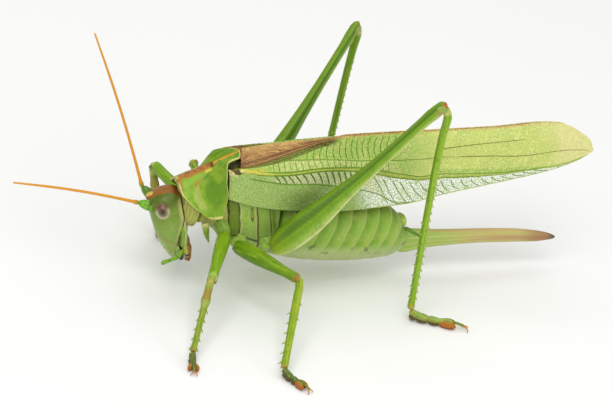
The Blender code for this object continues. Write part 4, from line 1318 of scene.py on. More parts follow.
@dataclass
class Feelers(SubAssembly):
    """The long feelers, each on a thick first joint."""

    scape_side: float = 1.1
    scape: Keys = ((0, 0.62), (0.35, 0.70), (0.7, 0.56), (1, 0.28))
    thread: Keys = ((0, 0.24), (0.02, 0.30), (0.05, 0.20), (0.3, 0.17), (0.7, 0.15), (1, 0.10))
    ends: dict[Side, tuple[float, float]] = field(
        default_factory=lambda: {Side.LEFT: (2.95, 0.62), Side.RIGHT: (2.39, 1.67)}
    )
    tips: dict[Side, tuple[float, float, float]] = field(
        default_factory=lambda: {Side.LEFT: (-27.13, -9.0, 21.10), Side.RIGHT: (-15.36, 1.0, 35.71)}
    )
    bows: dict[Side, tuple[float, float, float]] = field(
        default_factory=lambda: {Side.LEFT: (0.0, 0.0, 0.30), Side.RIGHT: (0.30, 0.0, 0.0)}
    )

    @staticmethod
    def joints(lie: np.ndarray) -> np.ndarray:
        """How far each short joint of a feeler stands out."""
        return 0.02 * np.sin(lie[:, 1] * 2 * math.pi / FEELER_JOINT)

    def build(self) -> None:
        """Makes both feelers."""
        axes = head_axes()
        for side in Side:
            face, crown = self.ends[side]
            root = on_head((self.scape_side * side.value, 1.1, -0.25))
            knuckle = on_head((self.scape_side * side.value, face, crown))
            line = straight([root, root + (knuckle - root) * 0.5, knuckle])
            first = Tube(line, self.scape, UP, axes[0], ends=(0.1, 0.10))
            self.keep(first.build(f"first_joint_{side.word}", 20, 30), SCAPE_FINISHES[side], "feeler")
            turned = axes * np.array((side.value, 1, 1))[:, None]
            middle = on_head((1.18 * side.value, 1.40, -0.15))
            socket = ball(f"feeler_socket_{side.word}", middle, turned, (0.86, 0.52, 0.80))
            self.keep(socket, SOCKET_FINISH, "head_skin")
            tip, bow = np.array(self.tips[side]), np.array(self.bows[side])
            points = [
                knuckle + (tip - knuckle) * s + bow * math.sin(math.pi * s) for s in np.linspace(0, 1, 15)
            ]
            thread = Tube(straight(points), self.thread, UP, axes[0], ends=(0.004, 0.006), relief=self.joints)
            piece = thread.build(f"feeler_{side.word}_thread", 12, 560)
            self.keep(piece, FeelerFinish(), "feeler", f"antenna_{side.word}")


def body_tube(levels: Keys, power: float, relief: Callable | None = None, ends: tuple = (0.02, 0.02)) -> Tube:
    """A tube along X from rows of place, top, bottom and half width."""
    first, last = levels[0][0], levels[-1][0]
    line = [((x - first) / (last - first), (x, 0.0, (top + bottom) / 2)) for x, top, bottom, _ in levels]
    sizes = [((x - first) / (last - first), half, (top - bottom) / 2) for x, top, bottom, half in levels]
    return Tube(line, sizes, ACROSS, UP, power, ends, relief, upright=True)


PRONOTUM_FRONT = (
    (0.0, (-1.00, 0.00, 15.85)),
    (0.2, (-0.95, -1.15, 15.20)),
    (0.4, (-0.75, -2.05, 14.50)),
    (0.6, (-0.20, -2.72, 13.95)),
    (0.8, (1.20, -3.20, 12.80)),
    (1.0, (3.00, -3.35, 11.60)),
)
PRONOTUM_REAR = (
    (0.0, (7.15, 0.00, 19.40)),
    (0.2, (6.72, -1.03, 19.10)),
    (0.4, (4.95, -1.75, 18.70)),
    (0.5, (4.60, -2.65, 18.10)),
    (0.6, (4.55, -3.30, 17.00)),
    (0.8, (5.05, -3.50, 14.60)),
    (1.0, (4.80, -3.40, 11.50)),
)


@dataclass
class Saddle(SubAssembly):
    """The neck and the saddle-shaped pronotum over it."""

    neck: Keys = (
        (-1.15, 15.95, 15.30, 0.26),
        (-0.85, 15.95, 15.05, 0.30),
        (-0.50, 15.95, 14.30, 0.34),
        (-0.20, 15.90, 12.90, 0.45),
        (0.10, 15.80, 11.30, 0.90),
        (0.50, 15.60, 10.05, 1.50),
        (1.30, 15.50, 9.15, 2.12),
        (2.20, 15.60, 8.90, 2.30),
    )
    wall: float = 0.26
    swell: float = 0.18

    def surface(self, across: np.ndarray, share: np.ndarray) -> TwoArrays:
        """Points of the saddle and their turn and share."""
        turn = 2 * across - 1
        front = along(PRONOTUM_FRONT, np.abs(turn))
        rear = along(PRONOTUM_REAR, np.abs(turn))
        points = front + (rear - front) * share[:, None]
        points[:, 1] -= self.swell * np.sin(math.pi * share) * np.minimum(1, 2 * np.abs(turn))
        points[:, 1] *= np.where(turn < 0, 1, -1)
        outwards = unit(np.stack([-0.2 * np.ones_like(turn), turn * 1.4, 1.2 - np.abs(turn)], axis=1))
        points += outwards * self.relief(turn, share)[:, None]
        side = np.abs(turn)
        slope = bell(share, 0.566, 0.365) * bell(side, 0.595, 0.304)
        points[:, 2] -= 0.727 * slope
        points[:, 1] += 1.057 * slope * np.where(turn < 0, 1, -1)
        lift = np.where(turn < 0, 0.22, 0.55)
        points[:, 2] += lift * bell(share, 0.86, 0.16) * bell(side, 0.36, 0.16)
        return points, np.stack([turn, share, np.zeros_like(turn)], axis=1)

    @staticmethod
    def relief(turn: np.ndarray, share: np.ndarray) -> np.ndarray:
        """Grooves, ridges and raised margins, in millimetres."""
        side = np.abs(turn)
        groove = bell(share, 0.30 + 0.10 * side, 0.035) * np.clip(side * 4, 0, 1)
        second = bell(share, 0.56 - 0.06 * side, 0.03) * np.clip(1.4 - side * 2, 0, 1)
        margin = np.clip((side - 0.94) / 0.03, 0, 1) + np.clip((share - 0.965) / 0.02, 0, 1)
        middle = bell(side, 0.0, 0.025)
        return 0.06 * margin + 0.05 * middle - 0.14 * groove - 0.12 * second

    def build(self) -> None:
        """Makes the neck and the saddle."""
        folds = body_tube(
            self.neck, 2.2, lambda lie: 0.035 * np.sin(lie[:, 1] * 60) * (lie[:, 2] < 0.9), (0.04, 0.04)
        )
        self.keep(folds.build("neck_folds", 48, 60), NeckFinish(), "neck_skin", "neck")
        saddle = Bench.formed("pronotum_saddle", 110, 60, self.surface)
        Bench.applied(saddle, "SOLIDIFY", thickness=self.wall * MM, offset=-1, use_even_offset=False)
        Bench.close(saddle)
        Bench.applied(
            saddle, "BEVEL", width=0.12 * MM, segments=2, limit_method="ANGLE", angle_limit=math.radians(50)
        )
        self.keep(saddle, SaddleFinish(), "pronotum_skin", "pronotum")


SEGMENT_COUNT = 9
SEGMENTS_START = 14.4
SEGMENTS_END = 33.4
SEGMENT_LEAN = 1.7


@dataclass
class Trunk(SubAssembly):
    """Thorax, abdomen, cerci and the egg-laying blade."""

    thorax: Keys = (
        (2.50, 15.20, 9.55, 2.20),
        (4.00, 16.00, 9.15, 2.45),
        (5.40, 16.80, 8.30, 2.70),
        (6.60, 17.50, 7.10, 3.10),
        (8.50, 17.90, 6.40, 3.35),
        (11.00, 17.00, 5.50, 3.40),
        (13.30, 14.40, 4.60, 3.35),
    )
    abdomen: Keys = (
        (13.60, 14.20, 4.50, 3.35),
        (16.00, 12.60, 3.98, 3.70),
        (18.50, 12.00, 3.52, 3.85),
        (21.50, 11.90, 3.20, 3.95),
        (25.00, 11.80, 3.00, 3.95),
        (28.00, 11.50, 3.05, 3.75),
        (30.00, 10.80, 3.10, 3.40),
        (31.50, 10.00, 3.20, 2.95),
        (32.60, 9.00, 3.50, 2.40),
        (33.50, 7.90, 4.10, 1.85),
        (34.20, 6.90, 4.80, 1.20),
    )
    blade: Keys = (
        (33.20, 6.60, 3.60, 0.80),
        (34.50, 6.70, 3.15, 0.80),
        (38.00, 6.45, 3.72, 0.66),
        (44.50, 6.22, 4.05, 0.62),
        (51.00, 5.95, 3.95, 0.56),
        (55.00, 5.45, 3.82, 0.44),
        (57.00, 5.00, 3.95, 0.34),
        (58.30, 4.50, 4.15, 0.18),
    )
    cercus_root: tuple[float, float, float] = (33.00, -1.80, 7.95)
    cercus_tip: tuple[float, float, float] = (35.65, -2.75, 6.70)

    def segments(self, lie: np.ndarray) -> np.ndarray:
        """How far each ring of the abdomen stands out behind the next one."""
        first, last = self.abdomen[0][0], self.abdomen[-1][0]
        x = first + (last - first) * lie[:, 1] - lie[:, 2] * SEGMENT_LEAN
        phase = (x - SEGMENTS_START) * SEGMENT_COUNT / (SEGMENTS_END - SEGMENTS_START)
        inside = (phase > 0) & (phase < SEGMENT_COUNT)
        part = phase - np.floor(phase)
        step = np.where(part < 0.86, part / 0.86, (1 - part) / 0.14)
        keel = 0.10 * bell(lie[:, 2], -0.72, 0.07)
        fade = np.clip((lie[:, 2] + 0.85) / 0.5, 0.3, 1)
        return np.where(inside, (0.15 * step - 0.07) * fade, 0.0) - keel

    def plates(self, lie: np.ndarray) -> np.ndarray:
        """Raised plates and sutures of the thorax's side."""
        first, last = self.thorax[0][0], self.thorax[-1][0]
        x = first + (last - first) * lie[:, 1]
        x = x - PLATE_SHIFT + lie[:, 2] * (PLATE_LEAN + PLATE_FAN * np.maximum(x - PLATE_BEND, 0))
        level = np.clip((0.42 - lie[:, 2]) / 0.08, 0, 1) * np.clip((lie[:, 2] + 0.72) / 0.08, 0, 1)
        seams = bell(x, 5.42, 0.12) + bell(x, 6.9, 0.12) + bell(x, 9.45, 0.12) + bell(x, 11.6, 0.14)
        swell = bell(x, 6.15, 0.6) + bell(x, 8.1, 0.9) + bell(x, 10.5, 0.8)
        slit = bell(x, 8.6, 0.18) * np.clip(1 - np.abs(lie[:, 2] + 0.02) / 0.18, 0, 1)
        return (0.18 * swell - 0.10 * seams - 0.12 * slit) * level - 0.06 * seams

    @staticmethod
    def grooves(lie: np.ndarray) -> np.ndarray:
        """The two long grooves of the egg-laying blade."""
        return -0.05 * bell(lie[:, 2], 0.12, 0.10) - 0.04 * bell(lie[:, 2], -0.4, 0.07)

    def build(self) -> None:
        """Makes the body's pieces from front to rear."""
        chest = body_tube(self.thorax, 2.2, self.plates).build("thorax_plates", 128, 150)
        Bench.lengthwise(chest, self.thorax)
        self.keep(chest, TrunkFinish(), "body_skin", "thorax")
        belly = body_tube(self.abdomen, 2.1, self.segments, (0.01, 0.03)).build("abdomen_rings", 72, 240)
        Bench.lengthwise(belly, self.abdomen)
        self.keep(belly, AbdomenFinish(), "abdomen_skin", "abdomen")
        blade = body_tube(self.blade, 2.2, self.grooves, (0.01, 0.02)).build("egg_blade", 36, 90)
        self.keep(blade, BladeFinish(), "ovipositor", "ovipositor")
        for name, place, radii, finish in HINGES:
            self.keep(ball(name, np.array(place), np.eye(3), radii, 10, 16), finish, "body_skin")
        plate = ball("tail_plate", np.array((33.10, 0.0, 8.05)), np.eye(3), (0.80, 1.22, 1.00), 20, 28)
        self.keep(plate, PLATE_FINISH, "abdomen_skin")
        for side in Side:
            root, tip = (
                np.array(place) * (1, side.value, 1) for place in (self.cercus_root, self.cercus_tip)
            )
            line = straight([root, root + (tip - root) * 0.5 + (0.1, -0.10 * side.value, 0), tip])
            sizes = ((0, 0.28, 0.28), (0.3, 0.24, 0.24), (0.7, 0.18, 0.18), (1, 0.07, 0.07))
            cercus = Tube(line, sizes, UP, ACROSS, ends=(0.08, 0.06)).build(f"tail_cone_{side.word}", 16, 30)
            self.keep(cercus, CERCUS_FINISH, "abdomen_skin", f"cercus_{side.word}")


PLATE_FINISH = LimbFinish("tail_plate_skin", (196, 222, 96), (190, 218, 92), (196, 210, 110))
HINGES = (
    (
        "wing_hinge_dark", (5.90, -3.00, 17.95), (0.62, 0.40, 0.32),
        LimbFinish("hinge_dark", (78, 44, 24), (70, 38, 20), (50, 28, 16)),
    ),
    (
        "wing_hinge_pale", (6.30, -3.25, 18.20), (0.34, 0.20, 0.20),
        LimbFinish("hinge_pale", (234, 224, 170), (226, 210, 140), (170, 140, 70)),
    ),
)
CERCUS_FINISH = LimbFinish("cercus_skin", (92, 140, 34), (84, 130, 28), (78, 120, 26))

COSTAL_EDGE = (
    (0.00, (6.00, -3.95, 14.30)),
    (0.06, (8.60, -4.05, 13.50)),
    (0.18, (15.10, -3.90, 12.50)),
    (0.32, (22.40, -3.80, 12.20)),
    (0.47, (31.20, -2.90, 12.35)),
    (0.60, (37.70, -2.20, 13.25)),
    (0.72, (44.10, -1.80, 14.15)),
    (0.86, (52.60, -1.50, 15.60)),
    (0.95, (57.00, -1.45, 16.95)),
    (1.00, (59.30, -1.35, 18.15)),
)
RADIAL_VEIN = (
    (0.00, (6.20, -3.40, 17.95)),
    (0.14, (12.80, -3.60, 18.00)),
    (0.24, (18.40, -3.60, 18.30)),
    (0.36, (24.30, -3.40, 18.00)),
    (0.47, (30.30, -2.70, 16.80)),
    (0.62, (38.20, -2.15, 15.20)),
    (0.76, (45.80, -1.80, 15.45)),
    (0.88, (52.60, -1.50, 16.60)),
    (1.00, (59.50, -1.35, 18.35)),
)
SHOULDER_FOLD = (
    (0.00, (6.30, -2.70, 18.42)),
    (0.14, (12.80, -2.60, 18.90)),
    (0.22, (16.80, -2.30, 19.42)),
    (0.29, (20.60, -1.95, 19.86)),
    (0.38, (25.00, -1.55, 20.15)),
    (0.56, (35.30, -1.35, 20.20)),
    (0.72, (44.30, -1.25, 20.00)),
    (0.88, (53.30, -1.20, 19.80)),
    (1.00, (59.60, -1.30, 18.55)),
)
INNER_EDGE = (
    (0.00, (7.60, 0.50, 19.45)),
    (0.11, (12.20, 0.35, 20.10)),
    (0.20, (16.80, -0.12, 20.72)),
    (0.32, (22.40, -0.42, 21.33)),
    (0.56, (35.30, -0.42, 21.72)),
    (0.72, (44.30, -0.42, 21.98)),
    (0.85, (51.20, -0.42, 22.45)),
    (0.90, (54.00, -0.50, 22.30)),
    (0.95, (57.80, -0.80, 20.70)),
    (0.98, (59.10, -1.00, 19.70)),
    (1.00, (59.50, -1.20, 18.75)),
)


@dataclass
class Wing(SubAssembly):
    """One side's forewing with its raised veins, and the hind wing folded under it."""

    side: Side = Side.LEFT
    fold_ends: tuple[float, float] = (16.8, 22.0)
    fold_drop: float = 1.1
    edge_drop: float = 0.35
    rows: tuple[float, ...] = (0.0, 0.42, 0.74, 1.0)
    wall: float = 0.16
    length: float = 55.0
    vein_lift: float = 0.08
    vein_taper: float = 0.4
    vein_step: float = 0.35
    hind_side: float = 0.42
    hind_wall: float = 0.14
    hind_lower: Keys = (
        (9.4, 17.4), (13.0, 15.4), (22.0, 14.4), (32.0, 14.4), (44.0, 15.8), (52.0, 17.0), (56.6, 18.3),
    )
    hind_upper: Keys = (
        (9.4, 17.9), (13.0, 18.2), (22.0, 19.6), (32.0, 20.4), (44.0, 20.6), (52.0, 20.6), (56.6, 18.9),
    )

    @staticmethod
    def borders(share: np.ndarray) -> np.ndarray:
        """Rows of the zones' borders at each share: edge, three great veins, brown back, inner edge."""
        radius = along(RADIUS_ROW, share)
        half = along(((0, 0.030), (0.45, 0.026), (0.6, 0.018), (1, 0.008)), share)
        back = along(BACK_ROW, share)
        upper = np.minimum(along(UPPER_ROW, share), back - 0.012)
        return np.stack(
            [0 * share, along(LOWER_ROW, share), radius - half, radius + half, upper, back, 1 + 0 * share]
        )

    @staticmethod
    def row_at(share: np.ndarray, zone: np.ndarray) -> np.ndarray:
        """The row of a zone place."""
        lines = Wing.borders(share)
        first = np.clip(np.floor(zone).astype(int), 0, 5)
        pick = np.arange(len(share))
        part = zone - first
        return lines[first, pick] * (1 - part) + lines[first + 1, pick] * part

    @staticmethod
    def zone_at(share: np.ndarray, row: np.ndarray) -> np.ndarray:
        """The zone place of a row."""
        lines = Wing.borders(share)
        first = np.clip((row[None] >= lines).sum(axis=0) - 1, 0, 5)
        pick = np.arange(len(share))
        low, high = lines[first, pick], lines[first + 1, pick]
        return first + np.clip((row - low) / (high - low), 0, 1)

    def membrane(self, share: np.ndarray, row: np.ndarray) -> np.ndarray:
        """Middle of the membrane: share from root to tip, row from the lower to the inner edge."""
        lines = np.stack(
            [along(line, share) for line in (COSTAL_EDGE, RADIAL_VEIN, SHOULDER_FOLD, INNER_EDGE)]
        )
        points = between(self.rows, lines, row)
        tuck = np.clip(1 - share / 0.06, 0, 1) ** 2 * np.clip((0.75 - row) / 0.2, 0, 1)
        points[:, 0] -= tuck * np.interp(row, (0, 0.45), (0.85, 1.6))
        points[:, 1] += 0.5 * tuck
        if self.side is Side.RIGHT:
            points[:, 1] *= -1
            points[:, 2] -= 1.1 * tuck
            start, end = self.fold_ends
            under = np.clip((end - points[:, 0]) / (end - start), 0, 1)
            flat = np.clip(2.4 * (row - self.rows[2]) / (1 - self.rows[2]), 0, 1)
            points[:, 2] -= flat * (self.fold_drop * under + self.edge_drop * (1 - under))
        return points

    def outwards(self, share: np.ndarray, row: np.ndarray) -> np.ndarray:
        """The membrane's outward direction."""
        step = 0.01
        lengthwise = self.membrane(share + step, row) - self.membrane(share - step, row)
        crosswise = self.membrane(share, row + step) - self.membrane(share, row - step)
        return unit(np.cross(lengthwise, crosswise)) * self.side.value

    def build_membrane(self) -> Piece:
        """The forewing's sheet, with its net places in millimetres."""

        def surface(row: np.ndarray, run: np.ndarray) -> TwoArrays:
            """Points and their share and row."""
            share = 1 - (1 - run) ** 1.25
            points = self.membrane(share, row)
            return points, np.stack([share, row, self.zone_at(share, row)], axis=1)

        obj = Bench.formed(f"forewing_{self.side.word}_sheet", 110, 220, surface)
        self.mark_net(obj)
        Bench.applied(obj, "SOLIDIFY", thickness=self.wall * MM, offset=0, use_even_offset=False)
        Bench.close(obj)
        return obj

    def mark_net(self, obj: Piece) -> None:
        """Writes millimetres along and round the wing, for the net of small veins."""
        lie = Bench.read(obj.data.attributes["lie"].data, "vector")
        share, row = lie[:, 0].astype(float), lie[:, 1].astype(float)
        steps = np.linspace(0, 1, 25)
        path = np.stack([self.membrane(share, np.full_like(share, step)) for step in steps])
        strides = np.linalg.norm(np.diff(path, axis=0), axis=2)
        gone = np.concatenate([np.zeros((1, len(share))), np.cumsum(strides, axis=0)])
        around = between(steps, gone[:, :, None], row)[:, 0]
        points = self.membrane(share, row)
        net = np.stack([points[:, 0], around, np.zeros_like(around)], axis=1)
        Bench.mark(obj, "net", net)

    def rib(self, name: str, path: Keys, radius: float) -> Piece:
        """A raised vein through (share, zone) places."""
        keys = [(i / (len(path) - 1), place) for i, place in enumerate(path)]

        def spot(run: np.ndarray) -> TwoArrays:
            """Share and row at runs along the vein."""
            share, zone = along(keys, np.clip(run, 0, 1)).T
            return share, self.row_at(share, zone)

        def surface(turn: np.ndarray, run: np.ndarray) -> TwoArrays:
            """A thin tube on the membrane."""
            share, row = spot(run)
            ahead = unit(self.membrane(*spot(run + 0.02)) - self.membrane(*spot(run - 0.02)))
            out = self.outwards(share, row)
            across = unit(np.cross(ahead, out))
            angle = 2 * math.pi * turn
            ends = np.sqrt(np.clip(1 - (2 * np.abs(run - 0.5)) ** 16, 0, 1))
            size = radius * ends * (1 - self.vein_taper * run)
            points = self.membrane(share, row) + out * (self.vein_lift + 0.7 * size * np.sin(angle))[:, None]
            points += across * (size * np.cos(angle))[:, None]
            return points, np.stack([np.cos(angle), run, np.sin(angle)], axis=1)

        span = abs(path[-1][0] - path[0][0]) * self.length
        return Bench.formed(name, 6, max(8, int(span / self.vein_step)), surface)

    def build(self) -> None:
        """Makes the wing's pieces."""
        word = self.side.word
        self.keep(self.build_membrane(), ForewingFinish(), "forewing", f"tegmen_{word}")
        for finish, veins in vein_plan().items():
            ribs = [self.rib("rib", path, radius) for radius, path in veins]
            self.keep(Bench.joined(f"forewing_{word}_{finish.name}", ribs), finish, "forewing")
        start, end = self.hind_lower[0][0], self.hind_lower[-1][0]

        def surface(row: np.ndarray, share: np.ndarray) -> TwoArrays:
            """Points of the folded hind wing."""
            x = start + (end - start) * share
            lower, upper = along(self.hind_lower, x), along(self.hind_upper, x)
            pleat = 0.06 * np.sin(row * 50)
            y = np.full_like(x, -self.hind_side * self.side.value) + pleat
            return np.stack(
                [x, y, lower + (upper - lower) * row], axis=1
            ), np.stack([share, row, row], axis=1)

        hind = Bench.formed(f"hindwing_{word}_fan", 60, 90, surface)
        Bench.applied(hind, "SOLIDIFY", thickness=self.hind_wall * MM, offset=0, use_even_offset=False)
        Bench.close(hind)
        self.keep(hind, HindwingFinish(), "hindwing", f"hindwing_{word}")


RADIUS_ROW = (
    (0.00, 0.47), (0.03, 0.44), (0.058, 0.405), (0.128, 0.39), (0.238, 0.415), (0.335, 0.41), (0.378, 0.385),
    (0.44, 0.37), (0.505, 0.375), (0.55, 0.43), (0.60, 0.475), (0.70, 0.465), (0.80, 0.45), (0.86, 0.33),
    (0.91, 0.14), (1.00, 0.06),
)
LOWER_ROW = (
    (0.00, 0.33), (0.03, 0.31), (0.11, 0.265), (0.173, 0.25), (0.265, 0.225), (0.33, 0.20), (0.39, 0.15),
    (0.455, 0.02), (0.50, 0.006), (1.00, 0.006),
)
UPPER_ROW = (
    (0.00, 0.60), (0.05, 0.67), (0.10, 0.80), (0.16, 0.76), (0.20, 0.70), (0.252, 0.62), (0.30, 0.57),
    (0.345, 0.54), (0.42, 0.55), (0.50, 0.58), (0.588, 0.62), (0.70, 0.625), (0.812, 0.615), (0.922, 0.64),
    (1.0, 0.66),
)
BACK_ROW = ((0.00, 0.70), (0.10, 0.80), (0.20, 0.90), (0.26, 0.95), (0.32, 0.972), (1.00, 0.982))
PALE_VEIN = LimbFinish("pale_vein", (188, 200, 84), (190, 200, 84), (186, 196, 90), roughness=0.4)
ROOT_VEIN = LimbFinish("root_vein", (214, 204, 84), (196, 198, 78), (170, 180, 66), roughness=0.4)
GREEN_VEIN = LimbFinish("green_vein", (106, 152, 34), (100, 148, 30), (100, 144, 28), roughness=0.4)
DARK_VEIN = LimbFinish("dark_vein", (74, 124, 26), (64, 112, 22), (56, 100, 20), roughness=0.4)
TAN_VEIN = LimbFinish("tan_vein", (196, 152, 96), (176, 128, 76), (150, 100, 56), roughness=0.4)
BROWN_VEIN = LimbFinish("brown_vein", (132, 112, 48), (120, 100, 44), (100, 80, 36), roughness=0.4)


def vein_plan() -> dict[LimbFinish, list[tuple]]:
    """Every raised vein of a forewing by its finish: a radius in millimetres and (share, zone) places."""
    slants = [((s, 1.97), (s + 0.011, 1.5), (s + 0.021, 1.03)) for s in np.arange(0.100, 0.335, 0.0185)]
    rungs = [((s, 3.04), (s + 0.001, 3.5), (s + 0.003, 3.97)) for s in np.arange(0.095, 0.425, 0.0162)]
    staves = [((s, 4.03), (s + 0.003, 4.5), (s + 0.010, 4.96)) for s in np.arange(0.195, 0.44, 0.0174)]
    ridges = [
        [(s, zone) for s in np.linspace(0.005, end, 8)] for zone,
        end in ((5.15, 0.28), (5.4, 0.25), (5.7, 0.3))
    ]
    windows = [
        ((s, 1.96), (s + 0.022, 1.45), (s + 0.043, 1.0), (s + 0.055, 0.1))
        for s in (0.372, 0.398, 0.43, 0.452, 0.482, 0.515, 0.548)
    ]
    late = [((s, 1.96), (s + 0.010, 1.5), (s + 0.024, 1.02)) for s in np.arange(0.585, 0.86, 0.029)]
    fan = [
        ((0.012, start), (0.045, middle), (0.10, end)) for start, middle,
        end in ((3.7, 3.1, 2.5), (3.2, 2.6, 2.1))
    ]
    ground = np.linspace(0.03, 0.99, 24)
    return {
        PALE_VEIN: [(0.15, [(s, 2.5) for s in ground[:14]]), (0.10, [(s, 2.4) for s in ground[13:]])]
        + [(0.08, [(s, 0.02) for s in ground[8:]])],
        ROOT_VEIN: [(0.19, path) for path in fan],
        GREEN_VEIN: [(0.10, [(s, 1.0) for s in ground[:12]]), (0.09, [(s, 2.0) for s in ground])]
        + [(0.09, [(s, 3.02) for s in ground]), (0.07, [(s, 4.0) for s in ground[2:15]])]
        + [(0.07, path) for path in rungs + windows + late],
        DARK_VEIN: [(0.12, path) for path in slants] + [(0.065, path) for path in staves],
        TAN_VEIN: [(0.08, path) for path in ridges],
        BROWN_VEIN: [
            (0.06, [(s, 4.0) for s in ground[14:]]), (0.06, [(0.55, 4.16), (0.672, 4.3), (0.80, 4.47)])
        ],
    }


LEG_PLACES = {
    (Pair.HIND, Side.LEFT): (
        (11.60, -5.30, 8.74), (29.62, -8.40, 29.50), (30.75, -8.90, 28.75), (30.30, -11.75, 1.60),
        (37.10, -15.15, 0),
    ),
    (Pair.HIND, Side.RIGHT): (
        (12.35, 5.30, 8.10), (27.70, 13.17, 30.05), (28.50, 13.45, 29.30), (28.85, 14.95, 1.60),
        (36.10, 14.60, 0),
    ),
    (Pair.MID, Side.LEFT): (
        (7.60, -3.25, 7.45), (11.80, -13.28, 8.12), (11.92, -13.65, 7.50), (6.95, -22.68, 1.25),
        (8.80, -26.70, 0),
    ),
    (Pair.MID, Side.RIGHT): (
        (8.00, 3.25, 7.20), (8.27, 13.49, 10.11), (8.55, 13.75, 9.60), (16.73, 15.50, 1.25),
        (19.90, 18.30, 0),
    ),
    (Pair.FRONT, Side.LEFT): (
        (6.00, -2.80, 8.60), (1.36, -10.30, 7.10), (0.98, -10.65, 6.60), (-3.35, -17.72, 1.25),
        (-4.45, -21.10, 0),
    ),
    (Pair.FRONT, Side.RIGHT): (
        (5.14, 2.75, 8.90), (1.30, 10.80, 11.50), (1.30, 10.95, 10.95), (4.23, 11.28, 1.25), (6.00, 14.40, 0),
    ),
}
THIGHS = {
    Pair.HIND: (
        (0.00, 0.60, 0.80), (0.05, 0.95, 1.45), (0.12, 1.18, 1.86), (0.20, 1.20, 1.96), (0.30, 1.08, 1.70),
        (0.42, 0.88, 1.26), (0.55, 0.70, 0.92), (0.72, 0.56, 0.76), (0.88, 0.54, 0.70), (0.96, 0.62, 0.82),
        (1.01, 0.52, 0.68), (1.03, 0.28, 0.40),
    ),
    Pair.MID: (
        (0.00, 0.60, 0.74), (0.10, 0.80, 1.02), (0.30, 0.84, 1.08), (0.60, 0.68, 0.86), (0.85, 0.54, 0.66),
        (0.95, 0.54, 0.68), (1.00, 0.36, 0.46),
    ),
    Pair.FRONT: (
        (0.00, 0.78, 0.90), (0.12, 0.92, 1.08), (0.40, 0.86, 1.04), (0.80, 0.66, 0.84), (0.95, 0.66, 0.86),
        (1.02, 0.50, 0.62),
    ),
}
THIGH_SAG = (
    (0.00, 0.95), (0.05, 1.25), (0.16, 1.50), (0.28, 1.55), (0.42, 1.30), (0.55, 1.10), (0.72, 0.70),
    (0.88, 0.22), (1.00, 0.0),
)
SHINS = {
    Pair.HIND: (
        (0.00, 0.46), (0.02, 0.53), (0.08, 0.50), (0.25, 0.46), (0.50, 0.44), (0.92, 0.42), (0.98, 0.47),
        (1.00, 0.38),
    ),
    Pair.MID: (
        (0.00, 0.44), (0.06, 0.51), (0.30, 0.53), (0.50, 0.50), (0.85, 0.45), (0.95, 0.48), (1.00, 0.36)
    ),
    Pair.FRONT: (
        (0.00, 0.42), (0.06, 0.50), (0.16, 0.50), (0.26, 0.60), (0.35, 0.47), (0.42, 0.41), (0.60, 0.39),
        (0.88, 0.38),
        (0.97, 0.44), (1.00, 0.36),
    ),
}
SHIN_BOWS = {Pair.HIND: 0.42, Pair.MID: 0.0, Pair.FRONT: 0.0}
SPINE_ROWS = {
    Pair.HIND: ((0.16, 0.93, 22, 0.36, (150, -150)), (0.55, 0.93, 8, 0.30, (30, -30))),
    Pair.MID: ((0.34, 0.93, 6, 0.60, (35, -35)), (0.22, 0.40, 2, 0.40, (180,))),
    Pair.FRONT: ((0.38, 0.93, 5, 0.44, (62, -62)),),
}
HIPS = {
    Pair.HIND: ((11.9, 2.3, 8.2), (12.3, 3.7, 6.8), 0.95),
    Pair.MID: ((8.7, 1.5, 9.2), (8.2, 2.5, 6.5), 1.15),
    Pair.FRONT: ((5.4, 1.6, 11.2), (6.15, 2.6, 8.2), 1.02),
}
HIP_SHAPE = ((0, 0.75), (0.25, 1), (0.6, 1), (0.9, 0.8), (1, 0.5))
COXAL_SPIKE = ((3.1, 2.3, 10.4), (3.35, 2.75, 9.2), (4.0, 2.75, 7.7))
SPIKE_FINISH = LimbFinish(
    "spike_skin", (150, 186, 74), (140, 176, 60), (120, 150, 50), (Ring(-0.1, 0.2, 0.1, (200, 196, 120)),)
)
FOOT_SIZES = {Pair.HIND: 1.22, Pair.MID: 1.04, Pair.FRONT: 1.0}

HIP_FINISH = LimbFinish("hip_skin", (158, 190, 76), (148, 182, 66), (134, 164, 60))
FRONT_THIGH = LimbFinish(
    "front_thigh_skin", (126, 168, 24), (118, 160, 20), (104, 146, 18),
    (Ring(0.96, 1.1, 0.02, (156, 186, 84)),), mottle=0.3,
)
MID_THIGH = LimbFinish(
    "mid_thigh_skin", (122, 160, 26), (116, 154, 20), (96, 136, 18),
    (Ring(0.955, 1.1, 0.02, (160, 136, 60)),), mottle=0.45,
)
FRONT_SHIN = LimbFinish(
    "front_shin_skin", (138, 160, 40), (126, 150, 32), (112, 138, 30),
    (
        Ring(-0.1, 0.16, 0.03, (170, 170, 76)), Ring(0.20, 0.36, 0.03, (156, 138, 54)),
        Ring(0.36, 0.44, 0.04, (156, 172, 78)), Ring(0.97, 1.1, 0.02, (160, 140, 50)),
    ),
)
MID_SHIN = LimbFinish(
    "mid_shin_skin", (158, 180, 36), (138, 168, 28), (108, 142, 24),
    (Ring(0.975, 1.1, 0.01, (170, 150, 60)),),
)
HIND_SHIN = LimbFinish(
    "hind_shin_skin", (158, 190, 54), (136, 176, 36), (116, 154, 26),
    (
        Ring(-0.1, 0.036, 0.006, (176, 92, 38)), Ring(0.042, 0.054, 0.008, (200, 196, 120)),
        Ring(0.97, 1.1, 0.02, (170, 160, 60)),
    ),
    light=(190, 206, 84), mottle=0.4,
)
KNEE_SIZES = {Pair.HIND: 0.72, Pair.MID: 0.48, Pair.FRONT: 0.56}
